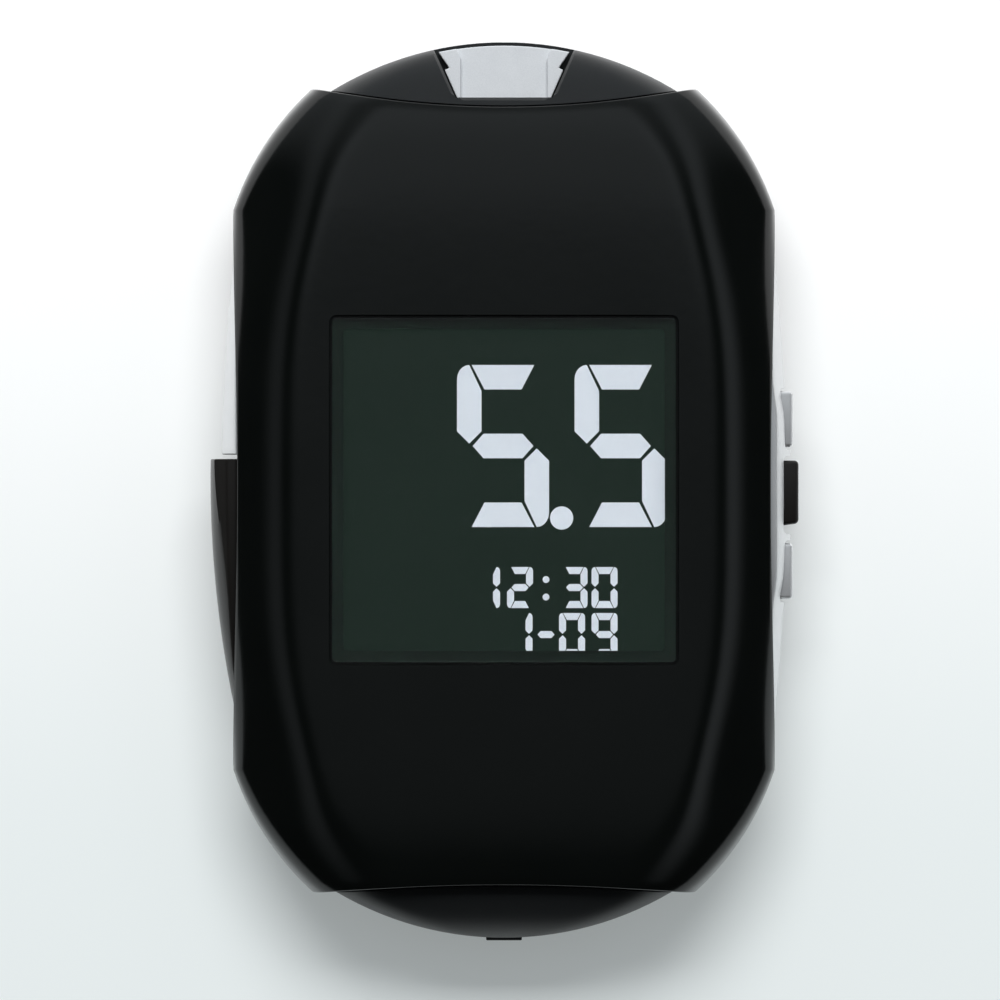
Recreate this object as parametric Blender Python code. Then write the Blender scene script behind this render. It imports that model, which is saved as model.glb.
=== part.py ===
"""Blood glucose meter: a flat, pebble-shaped handheld case with a square display, a strip port in its
top end, three keys on the right side, a strip-eject lever on the left side and a hinged battery door
in its back. The meter lies on its back: +X is its right side, +Y its strip-port end, +Z its display.
The origin is on the resting plane, under the middle of the case."""

import math

import bmesh
import bpy
from mathutils import Vector

MM = 0.001

# Clearances shared by all pieces
SEAM = 0.2 * MM  # between two outer pieces of the case
SEAT = 0.15 * MM  # between a piece and what it rests on
RUN = 0.3 * MM  # beside a piece that moves
OVERRUN = 3.0 * MM  # how far a cutter reaches past what it cuts
BITE = 0.3 * MM  # how far two fused shapes reach into each other

# Coin cells: two lie side by side, and they set the width of the case
CELL_RADIUS = 10.0 * MM
CELL_HIGH = 3.2 * MM
CELL_GAP = 0.8 * MM
CAN_STEP = 0.5 * MM
SIDE_MARGIN = 6.6 * MM  # from a cell's rim out to the side of the case

# Case: one pebble outline, made of two end arcs and two nearly straight sides
WALL = 1.5 * MM
PARTING_Z = 8.0 * MM  # height of the rim where front cover and rear cover meet
CROWN = 8.3 * MM  # rise of the front cover over the rim
SIDE_X = 2 * CELL_RADIUS + CELL_GAP / 2 + SIDE_MARGIN  # half width of the rear cover
FLAT_SINK = 0.3 * MM  # how deep the flat back is cut into the lower dome
DOME_POWER = 8  # how square the dome's cross-section is
FRONT_Z = PARTING_Z + CROWN

# Display window, square between the sides, and the ledge that it lies on
WINDOW_BORDER = 9.9 * MM  # from the window's edge out to the side of the case
WINDOW_SIDE = 2 * (SIDE_X - WINDOW_BORDER)
WINDOW_CORNER = 0.9 * MM
WINDOW_THICK = 1.0 * MM
WINDOW_SINK = 0.2 * MM  # how far the window's face lies under the crown
LEDGE_WIDE = 1.1 * MM
LEDGE_THICK = 0.9 * MM
LEDGE_BORDER = 1.6 * MM
GASKET_THICK = 0.5 * MM
GASKET_WIDE = 1.5 * MM

# The case's two ends, the same distance beyond the window
NOSE_LONG = 27.75 * MM  # from the window's edge to the end of the case
NOSE_WIDER = 6.0 * MM  # how much larger the end arc is than the half width
NOSE_END_Y = WINDOW_SIDE / 2 + NOSE_LONG
NOSE_ARC = SIDE_X + NOSE_WIDER
NOSE_ARC_Y = NOSE_END_Y - NOSE_ARC
NOSE_STEP = 0.8 * MM  # how far the noses lie below the front cover

# Front cover: its corner arcs, its side arches and its two curved end cuts
TIP_SETBACK = 16.85 * MM  # from the end of the case in to the pointed corners
TIP_Y = NOSE_END_Y - TIP_SETBACK  # where the side arches end in pointed corners
TIP_PROUD = 0.1 * MM
COVER_ARC_DROP = 8.9 * MM  # the corner arcs' centres lie this far inside of the pointed corners
COVER_ARC_Y = TIP_Y - COVER_ARC_DROP
COVER_ARC = math.hypot(SIDE_X + TIP_PROUD, COVER_ARC_DROP)
COVER_SIDE_BULGE = 0.41 * MM  # how much wider the cover is at its middle than at its tips
ARCH_RISE = 3.8 * MM
ARCH_FALL = 3.7 * MM  # the same arch turned down, in the rear cover
ARCH_POWER = 0.7
TOP_NOSE = 6.75 * MM  # how much of the nose shows past the top end cut
TOP_CUT_Y = NOSE_END_Y - TOP_NOSE
TOP_CUT_ARC = 93.0 * MM
BOTTOM_NOSE = 5.55 * MM
BOTTOM_CUT_Y = NOSE_END_Y - BOTTOM_NOSE
BOTTOM_CUT_ARC = 190.0 * MM
LAP_LONG = 4.1 * MM
LAP_Y = TOP_CUT_Y - LAP_LONG  # from here outwards the noses reach under the front cover

# Display cell, light guide, their frame, and the board under them
CELL_LAP = 1.1 * MM  # how far the display cell reaches past the window
CELL_SIDE = WINDOW_SIDE + 2 * CELL_LAP
CELL_THICK = 1.6 * MM
GUIDE_THICK = 1.3 * MM
FRAME_WALL = 0.8 * MM
FRAME_HALF = CELL_SIDE / 2 + SEAT + FRAME_WALL
BOARD_TOP_Z = 8.7 * MM
BOARD_THICK = 1.0 * MM
BOARD_SIDE_ROOM = 4.4 * MM
BOARD_END_ROOM = 1.1 * MM
BOARD_X = SIDE_X - BOARD_SIDE_ROOM
BOARD_END_Y = TOP_CUT_Y - BOARD_END_ROOM
BOARD_CORNER = 14.0 * MM
ZEBRA_WIDE = 1.8 * MM
ZEBRA_SIDE_ROOM = 2.0 * MM
LAMP_LONG = 3.0 * MM
LAMP_DEEP = 1.0 * MM
LAMP_X = 9.0 * MM

# Place of the two cells and of the door under them
CELL_END_ROOM = 9.85 * MM  # from a cell's rim to the end of the case
CELL_AT = (CELL_RADIUS + CELL_GAP / 2, CELL_RADIUS + CELL_END_ROOM - NOSE_END_Y)
POCKET_ROOM = 0.4 * MM
POCKET_CEILING = 1.0 * MM
POCKET_HEADROOM = 0.9 * MM
BAY_BORDER = 1.4 * MM
DOOR_SIDE_BORDER = 0.5 * MM  # how far the door reaches past the cells, on each side
DOOR_TOP_BORDER = 1.4 * MM
DOOR_LOW_BORDER = 1.2 * MM
DOOR_X = CELL_AT[0] + CELL_RADIUS + DOOR_SIDE_BORDER
DOOR_TOP_Y = CELL_AT[1] + CELL_RADIUS + DOOR_TOP_BORDER
DOOR_LOW_Y = CELL_AT[1] - CELL_RADIUS - DOOR_LOW_BORDER
DOOR_CORNER = 8.0 * MM
DOOR_RISE = 1.5 * MM  # how far the door's inner face climbs at its low end
TONGUE_X = 4.0 * MM
TONGUE_TOP_Z = 7.0 * MM
LIP_WIDE = 3.6 * MM
LIP_PROUD = 0.35 * MM
LIP_Z = (4.9 * MM, 6.7 * MM)
HOOK_OUT = 1.6 * MM  # from a cell's middle out to the hook beside it
HOOK_X = CELL_AT[0] + HOOK_OUT
HOOK_WIDE = 4.0 * MM
HOOK_REACH = 1.1 * MM
HOOK_ROOT = 0.7 * MM
HOOK_HEADROOM = 0.75 * MM
HOOK_THICK = 0.7 * MM
FINGER_WIDE = 3.0 * MM
FINGER_THICK = 0.3 * MM
FINGER_LONG = 9.0 * MM

# Case screws, driven in from the back
SCREW_HEAD_RADIUS = 1.7 * MM
SCREW_HEAD_THICK = 1.1 * MM
SCREW_SINK = 1.5 * MM
SCREW_RADIUS = 1.0 * MM
SCREW_BITE = 3.2 * MM  # length of screw inside the front cover's boss
DRIVE_RADIUS = 0.75 * MM
DRIVE_DEPTH = 0.6 * MM
BOSS_RADIUS = 2.1 * MM
TOP_SCREW_IN = 10.0 * MM  # from the side of the case
TOP_SCREW_BELOW = 6.5 * MM  # under the board's end
LOW_SCREW_IN = 5.2 * MM
LOW_SCREW_BELOW = 0.5 * MM  # under the cells' upper rims
TOP_SCREW = (SIDE_X - TOP_SCREW_IN, BOARD_END_Y - TOP_SCREW_BELOW)
LOW_SCREW = (SIDE_X - LOW_SCREW_IN, CELL_AT[1] + CELL_RADIUS - LOW_SCREW_BELOW)

# Parts on the board
CHIP_SIDE = 7.0 * MM
CHIP_THICK = 1.0 * MM
CHIP_AT = (2.0 * MM, 6.0 * MM)
MEMORY_SIZE = (5.0 * MM, 4.0 * MM, 1.2 * MM)
MEMORY_AT = (-9.0 * MM, 12.0 * MM)
BUZZER_RADIUS = 4.5 * MM
BUZZER_THICK = 1.6 * MM
BUZZER_AWAY = (3.5 * MM, 8.5 * MM)  # in and down from the top screw
BUZZER_AT = (TOP_SCREW[0] - BUZZER_AWAY[0], TOP_SCREW[1] - BUZZER_AWAY[1])

# Strip port: an open tray in the top nose, leading into the connector on the board
STRIP_WIDE = 8.0 * MM
STRIP_ROOM = 1.3 * MM  # height of the channel that the strip runs in
CONNECTOR_FLOOR = 0.65 * MM
CONNECTOR_ROOF = 0.9 * MM
CONNECTOR_SIDE = 1.4 * MM
CONNECTOR_LONG = 7.9 * MM
CONNECTOR_SETBACK = 0.1 * MM
CONNECTOR_END_Y = BOARD_END_Y - CONNECTOR_SETBACK
CONNECTOR_Y = (CONNECTOR_END_Y - CONNECTOR_LONG, CONNECTOR_END_Y)
CONTACT_COUNT = 4
CONTACT_WIDE = 0.7 * MM
CONTACT_THICK = 0.25 * MM
CONTACT_LONG = 5.0 * MM
CONTACT_DIP = 0.45 * MM
TRAY_THICK = 0.9 * MM
TRAY_RAIL = 0.7 * MM  # height of the rails beside the strip channel
TRAY_CHANNEL = 8.7 * MM
NOTCH_LONG = 5.75 * MM  # how far the open notch runs in from the end of the case
TRAY_MOUTH_Y = NOSE_END_Y - NOTCH_LONG  # where the tray comes out from under the nose
TRAY_NARROW = 4.85 * MM  # half widths of the notch in the nose, inner and outer
TRAY_WIDE = 7.2 * MM
TRAY_STEP = 0.45 * MM  # the tray's outer part is narrower, which leaves two dark gaps
TRAY_STEP_LONG = 2.85 * MM
TRAY_STEP_Y = NOSE_END_Y - TRAY_STEP_LONG
TRAY_SETBACK = 0.4 * MM
TRAY_END_Y = NOSE_END_Y - TRAY_SETBACK
TRAY_FLARE = 0.5 * MM
TRAY_FLARE_LONG = 1.3 * MM
SHELF_THICK = 1.4 * MM
SHELF_X = 8.2 * MM

# Side trims, silver, seen between the front and rear covers
TRIM_PROUD = 1.3 * MM
TRIM_X = SIDE_X + TRIM_PROUD
TRIM_BOW = 1.6 * MM  # how far a trim's ends lie inside of its middle
TRIM_WALL = 1.5 * MM
TRIM_EDGE_DROP = 1.7 * MM
TRIM_END_ROOM = 1.5 * MM
TRIM_END_Y = TIP_Y - TRIM_END_ROOM
PLATEAU_RISE = 0.45 * MM  # the raised pad round the keys
PLATEAU_HALF = 7.5 * MM
PLATEAU_BLEND = 4.5 * MM
KEY_ROW_Y = -0.5 * MM

# Keys on the right side, their switches on the back of the board
KEY_TRAVEL = 0.5 * MM
ENTER_LONG = 7.2 * MM
ENTER_TALL = 5.0 * MM
ENTER_PROUD = 2.45 * MM
ENTER_X = SIDE_X + ENTER_PROUD
SCROLL_LONG = 5.6 * MM
SCROLL_TALL = 4.4 * MM
SCROLL_PROUD = 0.15 * MM
KEY_PITCH = 7.6 * MM
KEY_Z = 7.9 * MM
KEY_SETBACK = 1.7 * MM
KEY_INNER_X = SIDE_X - KEY_SETBACK
KEY_FLANGE = 0.6 * MM
KEY_FLANGE_THICK = 0.7 * MM
KEY_ROUND = 0.4 * MM
POST_SIDE = 1.6 * MM
SWITCH_LONG = 4.4 * MM
SWITCH_TALL = 2.3 * MM
SWITCH_DEEP = 2.8 * MM
SWITCH_SETBACK = 6.7 * MM
SWITCH_X = SIDE_X - SWITCH_SETBACK
SWITCH_HOLE = 1.2 * MM
PLUNGER_SIDE = 1.2 * MM
PLUNGER_PROUD = 1.0 * MM

# Eject lever on the left side, the crank that it turns and the pusher behind the strip
LEVER_PROUD = 2.4 * MM
LEVER_X = SIDE_X + LEVER_PROUD
LEVER_BOW = 3.2 * MM  # how far the lever's low end lies inside of its crest
LEVER_CREST_Y = 1.0 * MM
LEVER_TOP_Y = 3.1 * MM
LEVER_END_ROOM = 2.6 * MM
LEVER_LOW_Y = LEVER_END_ROOM - TIP_Y
LEVER_EDGE_DROP = 1.9 * MM
LEVER_WALL = 1.3 * MM
LEVER_GAP_Y = 0.45 * MM
KNUCKLE_RADIUS = 1.3 * MM
PIVOT_RISE = 2.2 * MM  # from the lever's low end up to its hinge
PIVOT_Y = LEVER_LOW_Y + PIVOT_RISE
PIVOT_FACE_X = LEVER_X - LEVER_BOW * ((PIVOT_Y - LEVER_CREST_Y) / (LEVER_LOW_Y - LEVER_CREST_Y)) ** 2
PIVOT = (LEVER_WALL + KNUCKLE_RADIUS - BITE - PIVOT_FACE_X, PIVOT_Y)
PIN_RADIUS = 0.6 * MM
PIN_GRIP = 1.6 * MM
NUB_BELOW = 1.6 * MM  # under the lever's free end
CRANK_ARM = 6.0 * MM  # from the crank's axis to the lever's nub
CRANK_SETBACK = 5.7 * MM
CRANK = (CRANK_SETBACK - SIDE_X, LEVER_TOP_Y - NUB_BELOW + CRANK_ARM)
CRANK_Z = 10.6 * MM
CRANK_THICK = 1.0 * MM
CRANK_HALF = 0.9 * MM
CRANK_HUB = 1.65 * MM
CRANK_POST = 0.85 * MM
NUB_RADIUS = 0.6 * MM
ELBOW_IN = 0.6 * MM
ELBOW_ROOM = 1.35 * MM  # from the display frame to the elbow of the crank's arm
ELBOW = (CRANK[0] + ELBOW_IN, FRAME_HALF + ELBOW_ROOM)
PUSHER_ROOM = 2.85 * MM
PUSHER_PIN_Y = FRAME_HALF + PUSHER_ROOM
PUSHER_PIN = 0.7 * MM
PUSHER_WIDE = 5.0 * MM
PUSHER_THICK = 0.8 * MM
PUSHER_INSERT = 1.0 * MM  # how far the pusher reaches into the connector
PUSHER_END_Y = CONNECTOR_Y[0] + PUSHER_INSERT
SLOT_LONG = 3.4 * MM
SLOT_DROP = 0.7 * MM
COIL_RADIUS = 1.5 * MM
COIL_WIRE = 0.25 * MM
COIL_TURNS = 3
COIL_POINTS = 12  # per turn
COIL_LEG = 4.0 * MM

# Mesh fineness
ARC_STEPS = 5
ROUND_SIDES = 16
COVER_COLUMNS = 8
COVER_SIDE_ROWS = 6
COVER_END_ROWS = 6
PEBBLE_COLUMNS = 7
PEBBLE_SHARES = (0.2, 0.41, 0.55, 0.629, 0.675, 0.72, 0.765, 0.81, 0.86, 0.905, 0.945, 0.98)
WINDOW_ROWS = 9
TRIM_ROWS = 18
TRIM_COLUMNS = 6
EDGE_POWER = 2.5  # how strongly the columns crowd towards the rim

# Heights worked out from the pieces above
WINDOW_TOP_Z = FRONT_Z - WINDOW_SINK
LEDGE_TOP_Z = WINDOW_TOP_Z - WINDOW_THICK - SEAT
LEDGE_LOW_Z = LEDGE_TOP_Z - LEDGE_THICK
GASKET_TOP_Z = LEDGE_LOW_Z - SEAT
CELL_TOP_Z = GASKET_TOP_Z - GASKET_THICK - SEAT
CELL_LOW_Z = CELL_TOP_Z - CELL_THICK
GUIDE_TOP_Z = CELL_LOW_Z - SEAT
GUIDE_LOW_Z = GUIDE_TOP_Z - GUIDE_THICK
BOARD_LOW_Z = BOARD_TOP_Z - BOARD_THICK
ON_BOARD_Z = BOARD_TOP_Z + SEAT
UNDER_BOARD_Z = BOARD_LOW_Z - SEAT
FRAME_TOP_Z = CELL_TOP_Z - SEAT
OPENING_SIDE = WINDOW_SIDE - 2 * LEDGE_WIDE
STRIP_Z = ON_BOARD_Z + CONNECTOR_FLOOR
CONNECTOR_TOP_Z = STRIP_Z + STRIP_ROOM + CONNECTOR_ROOF
TRAY_LOW_Z = STRIP_Z - TRAY_THICK
BATTERY_LOW_Z = WALL + SEAT
BATTERY_TOP_Z = BATTERY_LOW_Z + CELL_HIGH
POCKET_TOP_Z = BATTERY_TOP_Z + POCKET_HEADROOM
BAY_TOP_Z = POCKET_TOP_Z + POCKET_CEILING
PILOT_TOP_Z = ON_BOARD_Z + SCREW_BITE + SEAT


def clear_scene():
    for obj in list(bpy.data.objects):
        bpy.data.objects.remove(obj, do_unlink=True)


def material(name, colour, roughness, metallic=0.0):
    made = bpy.data.materials.new(name)
    made.use_nodes = True
    shader = made.node_tree.nodes["Principled BSDF"]
    shader.inputs["Base Color"].default_value = (*colour, 1.0)
    shader.inputs["Roughness"].default_value = roughness
    shader.inputs["Metallic"].default_value = metallic
    return made


def mesh_object(name, points, faces, finish=None, smooth=True):
    mesh = bpy.data.meshes.new(name)
    mesh.from_pydata([tuple(p) for p in points], [], faces)
    shape = bmesh.new()
    shape.from_mesh(mesh)
    bmesh.ops.recalc_face_normals(shape, faces=shape.faces)
    shape.to_mesh(mesh)
    shape.free()
    if smooth:
        mesh.shade_smooth()
        mesh.set_sharp_from_angle(angle=math.radians(35))
    if finish:
        mesh.materials.append(finish)
    made = bpy.data.objects.new(name, mesh)
    bpy.context.scene.collection.objects.link(made)
    return made


def helper(obj):
    """A cutter or a shape to fuse: it never counts as a piece."""
    obj.hide_render = True
    obj.display_type = "WIRE"
    return obj


def combine(target, tool, operation):
    step = target.modifiers.new(operation.lower() + "_" + tool.name, "BOOLEAN")
    step.operation = operation
    step.object = helper(tool)
    return target


def cut(target, *tools):
    for tool in tools:
        combine(target, tool, "DIFFERENCE")
    return target


def fuse(target, *tools):
    for tool in tools:
        combine(target, tool, "UNION")
    return target


def keep_inside(target, tool):
    return combine(target, tool, "INTERSECT")


def bevel(obj, width, segments=2, angle=40):
    step = obj.modifiers.new("edges", "BEVEL")
    step.width = width
    step.segments = segments
    step.limit_method = "ANGLE"
    step.angle_limit = math.radians(angle)
    return obj


def put_origin(obj, point):
    """Moves an object's origin to a point on its joint's axis, with its shape left where it is."""
    place = Vector(point)
    for corner in obj.data.vertices:
        corner.co -= place
    obj.location = place
    return obj


def circle(centre, radius, sides=ROUND_SIDES):
    turns = [2 * math.pi * k / sides for k in range(sides)]
    return [(centre[0] + radius * math.cos(t), centre[1] + radius * math.sin(t)) for t in turns]


def rounded(low, high, radius, steps=ARC_STEPS):
    """Outline of a rectangle with round corners, from its low corner to its high one."""
    centres = (
        (high[0] - radius, high[1] - radius),
        (low[0] + radius, high[1] - radius),
        (low[0] + radius, low[1] + radius),
        (high[0] - radius, low[1] + radius),
    )
    points = []
    for quarter, centre in enumerate(centres):
        for k in range(steps + 1):
            turn = math.pi / 2 * (quarter + k / steps)
            points.append((centre[0] + radius * math.cos(turn), centre[1] + radius * math.sin(turn)))
    return points


def about(centre, width, length, radius):
    low = (centre[0] - width / 2, centre[1] - length / 2)
    high = (centre[0] + width / 2, centre[1] + length / 2)
    return rounded(low, high, radius)


def extrude(name, outline, low, high, finish=None, axis="Z"):
    """A prism on an outline. Along Z the outline is (x, y), along X it is (y, z), along Y it is (x, z)."""
    place = {"Z": lambda a, b, h: (a, b, h), "X": lambda a, b, h: (h, a, b), "Y": lambda a, b, h: (a, h, b)}[axis]
    count = len(outline)
    points = [place(a, b, h) for h in (low, high) for a, b in outline]
    faces = [list(range(count)), list(range(count, 2 * count))]
    faces += [(k, (k + 1) % count, count + (k + 1) % count, count + k) for k in range(count)]
    return mesh_object(name, points, faces, finish)


def block(name, low, high, finish=None):
    outline = [(low[0], low[1]), (high[0], low[1]), (high[0], high[1]), (low[0], high[1])]
    return extrude(name, outline, low[2], high[2], finish)


def rod(name, centre, radius, low, high, finish=None, sides=ROUND_SIDES):
    return extrude(name, circle(centre, radius, sides), low, high, finish)


def lathe(name, profile, centre, finish=None, sides=ROUND_SIDES):
    """Turns a profile of (radius, height) points about a vertical axis. It starts and ends on the axis."""
    points = [(centre[0], centre[1], profile[0][1]), (centre[0], centre[1], profile[-1][1])]
    rings = profile[1:-1]
    for radius, height in rings:
        points += [(x, y, height) for x, y in circle(centre, radius, sides)]
    faces = []
    for k in range(sides):
        after = (k + 1) % sides
        faces.append((0, 2 + after, 2 + k))
        last = 2 + (len(rings) - 1) * sides
        faces.append((1, last + k, last + after))
        for ring in range(len(rings) - 1):
            base = 2 + ring * sides
            faces.append((base + k, base + after, base + sides + after, base + sides + k))
    return mesh_object(name, points, faces, finish)


def skin(name, outer, inner, finish=None):
    """A closed shell between two grids of points with the same rows and columns."""
    rows, columns = len(outer), len(outer[0])
    points = [p for row in outer for p in row] + [p for row in inner for p in row]
    shift = rows * columns

    def at(row, column, side):
        return side * shift + row * columns + column

    faces = []
    for side in (0, 1):
        for r in range(rows - 1):
            for c in range(columns - 1):
                faces.append((at(r, c, side), at(r, c + 1, side), at(r + 1, c + 1, side), at(r + 1, c, side)))
    for r in range(rows - 1):
        for c in (0, columns - 1):
            faces.append((at(r, c, 0), at(r + 1, c, 0), at(r + 1, c, 1), at(r, c, 1)))
    for c in range(columns - 1):
        for r in (0, rows - 1):
            faces.append((at(r, c, 0), at(r, c + 1, 0), at(r, c + 1, 1), at(r, c, 1)))
    return mesh_object(name, points, faces, finish)


def rim_shares(count):
    """Shares from -1 to 1 across a row of the dome, crowded towards the rim."""
    right = [1 - (1 - k / count) ** EDGE_POWER for k in range(1, count + 1)]
    return [-s for s in reversed(right)] + [0] + right


def dome(share):
    return math.sqrt(max(0, 1 - abs(share) ** DOME_POWER))


def arc_width(y, radius, centre):
    return math.sqrt(max(0, radius**2 - (abs(y) - centre) ** 2))


def cover_width(y, inset=0):
    """Half width of the front cover's dome, if it went all the way down to the rim."""
    if abs(y) >= TIP_Y:
        return arc_width(y, COVER_ARC - inset, COVER_ARC_Y)
    return SIDE_X + TIP_PROUD + COVER_SIDE_BULGE * (1 - (y / TIP_Y) ** 2) - inset


def cover_height(x, y, inset=0):
    length = COVER_ARC_Y + COVER_ARC - inset
    across = min(1, abs(x) / max(cover_width(y, inset), MM))
    return PARTING_Z + (CROWN - inset) * dome(y / length) * dome(across)


def arch(y):
    return max(0, 1 - (y / TIP_Y) ** 2) ** ARCH_POWER


def cover_rim(y, inset=0):
    """(half width, height) of the front cover's lower edge at y, on its outer or inner face."""
    height = SEAM + ARCH_RISE * arch(y)
    length = COVER_ARC_Y + COVER_ARC - inset
    share = min(1, height / ((CROWN - inset) * dome(y / length)))
    return cover_width(y, inset) * (1 - share**2) ** (1 / DOME_POWER), PARTING_Z + height


def body_width(y, inset=0):
    nose = arc_width(y, NOSE_ARC - inset, NOSE_ARC_Y)
    corner = arc_width(y, COVER_ARC - inset, COVER_ARC_Y) if abs(y) > COVER_ARC_Y else nose
    return min(nose, corner, SIDE_X - inset)


def pebble(name, inset=0, finish=None):
    """The rear cover's full form: a flat-backed lower dome and, over the rim, the lower nose dome."""
    length = NOSE_END_Y - inset
    shares = rim_shares(PEBBLE_COLUMNS)
    points, top_rows, low_rows = [], [], []
    half_shares = (0, *PEBBLE_SHARES, 1)
    for y_share in [-s for s in reversed(half_shares[1:])] + list(half_shares):
        y = length * y_share
        width = body_width(y, inset)
        if abs(y_share) == 1:
            top_rows.append([len(points)])
            low_rows.append([len(points)])
            points.append((0, y, PARTING_Z))
            continue
        top, low = [], []
        for share in shares:
            fall = dome(y / length) * dome(share)
            high_z = PARTING_Z + (CROWN - NOSE_STEP - inset) * fall
            low_z = max(inset, PARTING_Z - (PARTING_Z + FLAT_SINK - inset) * fall)
            top.append(len(points))
            points.append((width * share, y, high_z))
            if abs(share) == 1:
                low.append(top[-1])
            else:
                low.append(len(points))
                points.append((width * share, y, low_z))
        top_rows.append(top)
        low_rows.append(low)
    faces = []
    for rows in (top_rows, low_rows):
        for first, second in zip(rows, rows[1:]):
            if len(first) == 1 or len(second) == 1:
                pole, row = (first, second) if len(first) == 1 else (second, first)
                faces += [(pole[0], row[c], row[c + 1]) for c in range(len(row) - 1)]
            else:
                faces += [(first[c], first[c + 1], second[c + 1], second[c]) for c in range(len(first) - 1)]
    return mesh_object(name, points, faces, finish)


def end_cut(x, top, gap=0):
    """The y of the front cover's curved end edge at x."""
    if top:
        return TOP_CUT_Y + gap + TOP_CUT_ARC - math.sqrt(TOP_CUT_ARC**2 - x**2)
    return -(BOTTOM_CUT_Y + gap + BOTTOM_CUT_ARC - math.sqrt(BOTTOM_CUT_ARC**2 - x**2))


def cover_rows(gap):
    """(y at the middle, share of the end cut's bow) for each row of the front cover, low end first."""
    steps = range(-COVER_SIDE_ROWS, COVER_SIDE_ROWS + 1)
    side = [(TIP_Y * math.sin(math.pi / 2 * k / COVER_SIDE_ROWS), 0) for k in steps]
    shares = [k / COVER_END_ROWS for k in range(1, COVER_END_ROWS + 1)]
    top = [(TIP_Y + (TOP_CUT_Y + gap - TIP_Y) * s, s) for s in shares]
    low = [(-TIP_Y - (BOTTOM_CUT_Y + gap - TIP_Y) * s, s) for s in reversed(shares)]
    return low + side + top


def cover_surface(inset, gap=0):
    grid = []
    for middle, share in cover_rows(gap):
        top = middle > 0

        def bowed(x):
            return middle + share * (end_cut(x, top) - end_cut(0, top))

        y = middle
        for _ in range(6):  # the rim's place depends on its own y
            width, _height = cover_rim(y, inset)
            y = bowed(width)
        _width, rim_z = cover_rim(y)
        rim_z -= gap
        row = []
        for s in rim_shares(COVER_COLUMNS):
            x = width * s
            height = rim_z if abs(s) == 1 else max(rim_z, cover_height(x, bowed(x), inset))
            row.append((x, bowed(x), height))
        grid.append(row)
    return grid


def front_cover(finish):
    cover = skin("front_cover", cover_surface(0), cover_surface(WALL), finish)
    border = OPENING_SIDE + 2 * (LEDGE_WIDE + LEDGE_BORDER)
    centre = (0, 0)
    ledge = extrude("ledge_block", about(centre, border, border, WINDOW_CORNER), LEDGE_LOW_Z, LEDGE_TOP_Z + BITE)
    fuse(cover, ledge)
    pocket_side = WINDOW_SIDE + 2 * SEAM
    pocket = about(centre, pocket_side, pocket_side, WINDOW_CORNER + SEAM)
    opening = about(centre, OPENING_SIDE, OPENING_SIDE, WINDOW_CORNER)
    cut(cover, extrude("window_pocket", pocket, LEDGE_TOP_Z, FRONT_Z + OVERRUN))
    cut(cover, extrude("window_opening", opening, LEDGE_LOW_Z - OVERRUN, FRONT_Z + OVERRUN))
    for side in (-1, 1):
        for label, (x, y) in (("top", TOP_SCREW), ("low", LOW_SCREW)):
            tag = label + ("_left" if side < 0 else "_right")
            root = cover_height(x, y, WALL) + BITE
            fuse(cover, rod("cover_boss_" + tag, (side * x, y), BOSS_RADIUS, ON_BOARD_Z, root))
            cut(cover, rod("pilot_" + tag, (side * x, y), SCREW_RADIUS + SEAT, ON_BOARD_Z - OVERRUN, PILOT_TOP_Z))
    post_root = cover_height(*CRANK, WALL) + BITE
    fuse(cover, rod("crank_post", CRANK, CRANK_POST, ON_BOARD_Z, post_root, sides=16))
    socket_low = pin_span()[1] - PIN_GRIP
    socket_root = cover_height(*PIVOT, WALL) + BITE
    fuse(cover, rod("pin_boss_upper", PIVOT, KNUCKLE_RADIUS, socket_low, socket_root, sides=16))
    cut(cover, rod("pin_hole_upper", PIVOT, PIN_RADIUS + SEAT, socket_low - OVERRUN, pin_span()[1] + SEAT, sides=16))
    return cover


def rear_rim(y):
    """Height of the arched edge that the rear cover leaves open at its sides."""
    return PARTING_Z - ARCH_FALL * arch(y)


def front_rim(y):
    return PARTING_Z + SEAM + ARCH_RISE * arch(y)


def pin_span():
    """Low and high end of the lever's pin."""
    low = rear_rim(PIVOT[1]) - PIN_GRIP
    high = front_rim(PIVOT[1]) + PIN_GRIP
    return low, high


def side_window(name, side):
    """The lens between the front cover's arch and the rear cover's arch, as a prism along X."""
    ys = [TIP_Y * math.sin(math.pi / 2 * k / WINDOW_ROWS) for k in range(-WINDOW_ROWS, WINDOW_ROWS + 1)]
    outline = [(y, rear_rim(y)) for y in ys]
    outline += [(TIP_Y, PARTING_Z + OVERRUN), (-TIP_Y, PARTING_Z + OVERRUN)]
    inner = SIDE_X - 2 * OVERRUN
    ends = sorted((side * inner, side * (SIDE_X + OVERRUN)))
    return extrude(name, outline, ends[0], ends[1], axis="X")


def notch_outline(gap=0):
    """Plan of the open notch over the strip tray, past the case's end."""
    slope = (TRAY_WIDE - TRAY_NARROW) / (TRAY_END_Y - TRAY_MOUTH_Y)
    far_y = NOSE_END_Y + OVERRUN
    narrow = TRAY_NARROW - gap
    wide = TRAY_NARROW + slope * (far_y - TRAY_MOUTH_Y) - gap
    return [(-narrow, TRAY_MOUTH_Y), (narrow, TRAY_MOUTH_Y), (wide, far_y), (-wide, far_y)]


def door_outline(name, gap, low, high, finish=None):
    """The battery door in plan: a round-cornered plate with a tongue towards the low end."""
    plate = rounded((-DOOR_X - gap, DOOR_LOW_Y - gap), (DOOR_X + gap, DOOR_TOP_Y + gap), DOOR_CORNER + gap)
    outline = plate[: 3 * (ARC_STEPS + 1)]
    tail = plate[3 * (ARC_STEPS + 1) :]
    end_y = -NOSE_END_Y - OVERRUN
    half = TONGUE_X + gap
    tongue = [(-half, DOOR_LOW_Y - gap), (-half, end_y), (half, end_y), (half, DOOR_LOW_Y - gap)]
    return extrude(name, outline + tongue + tail, low, high, finish)


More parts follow.
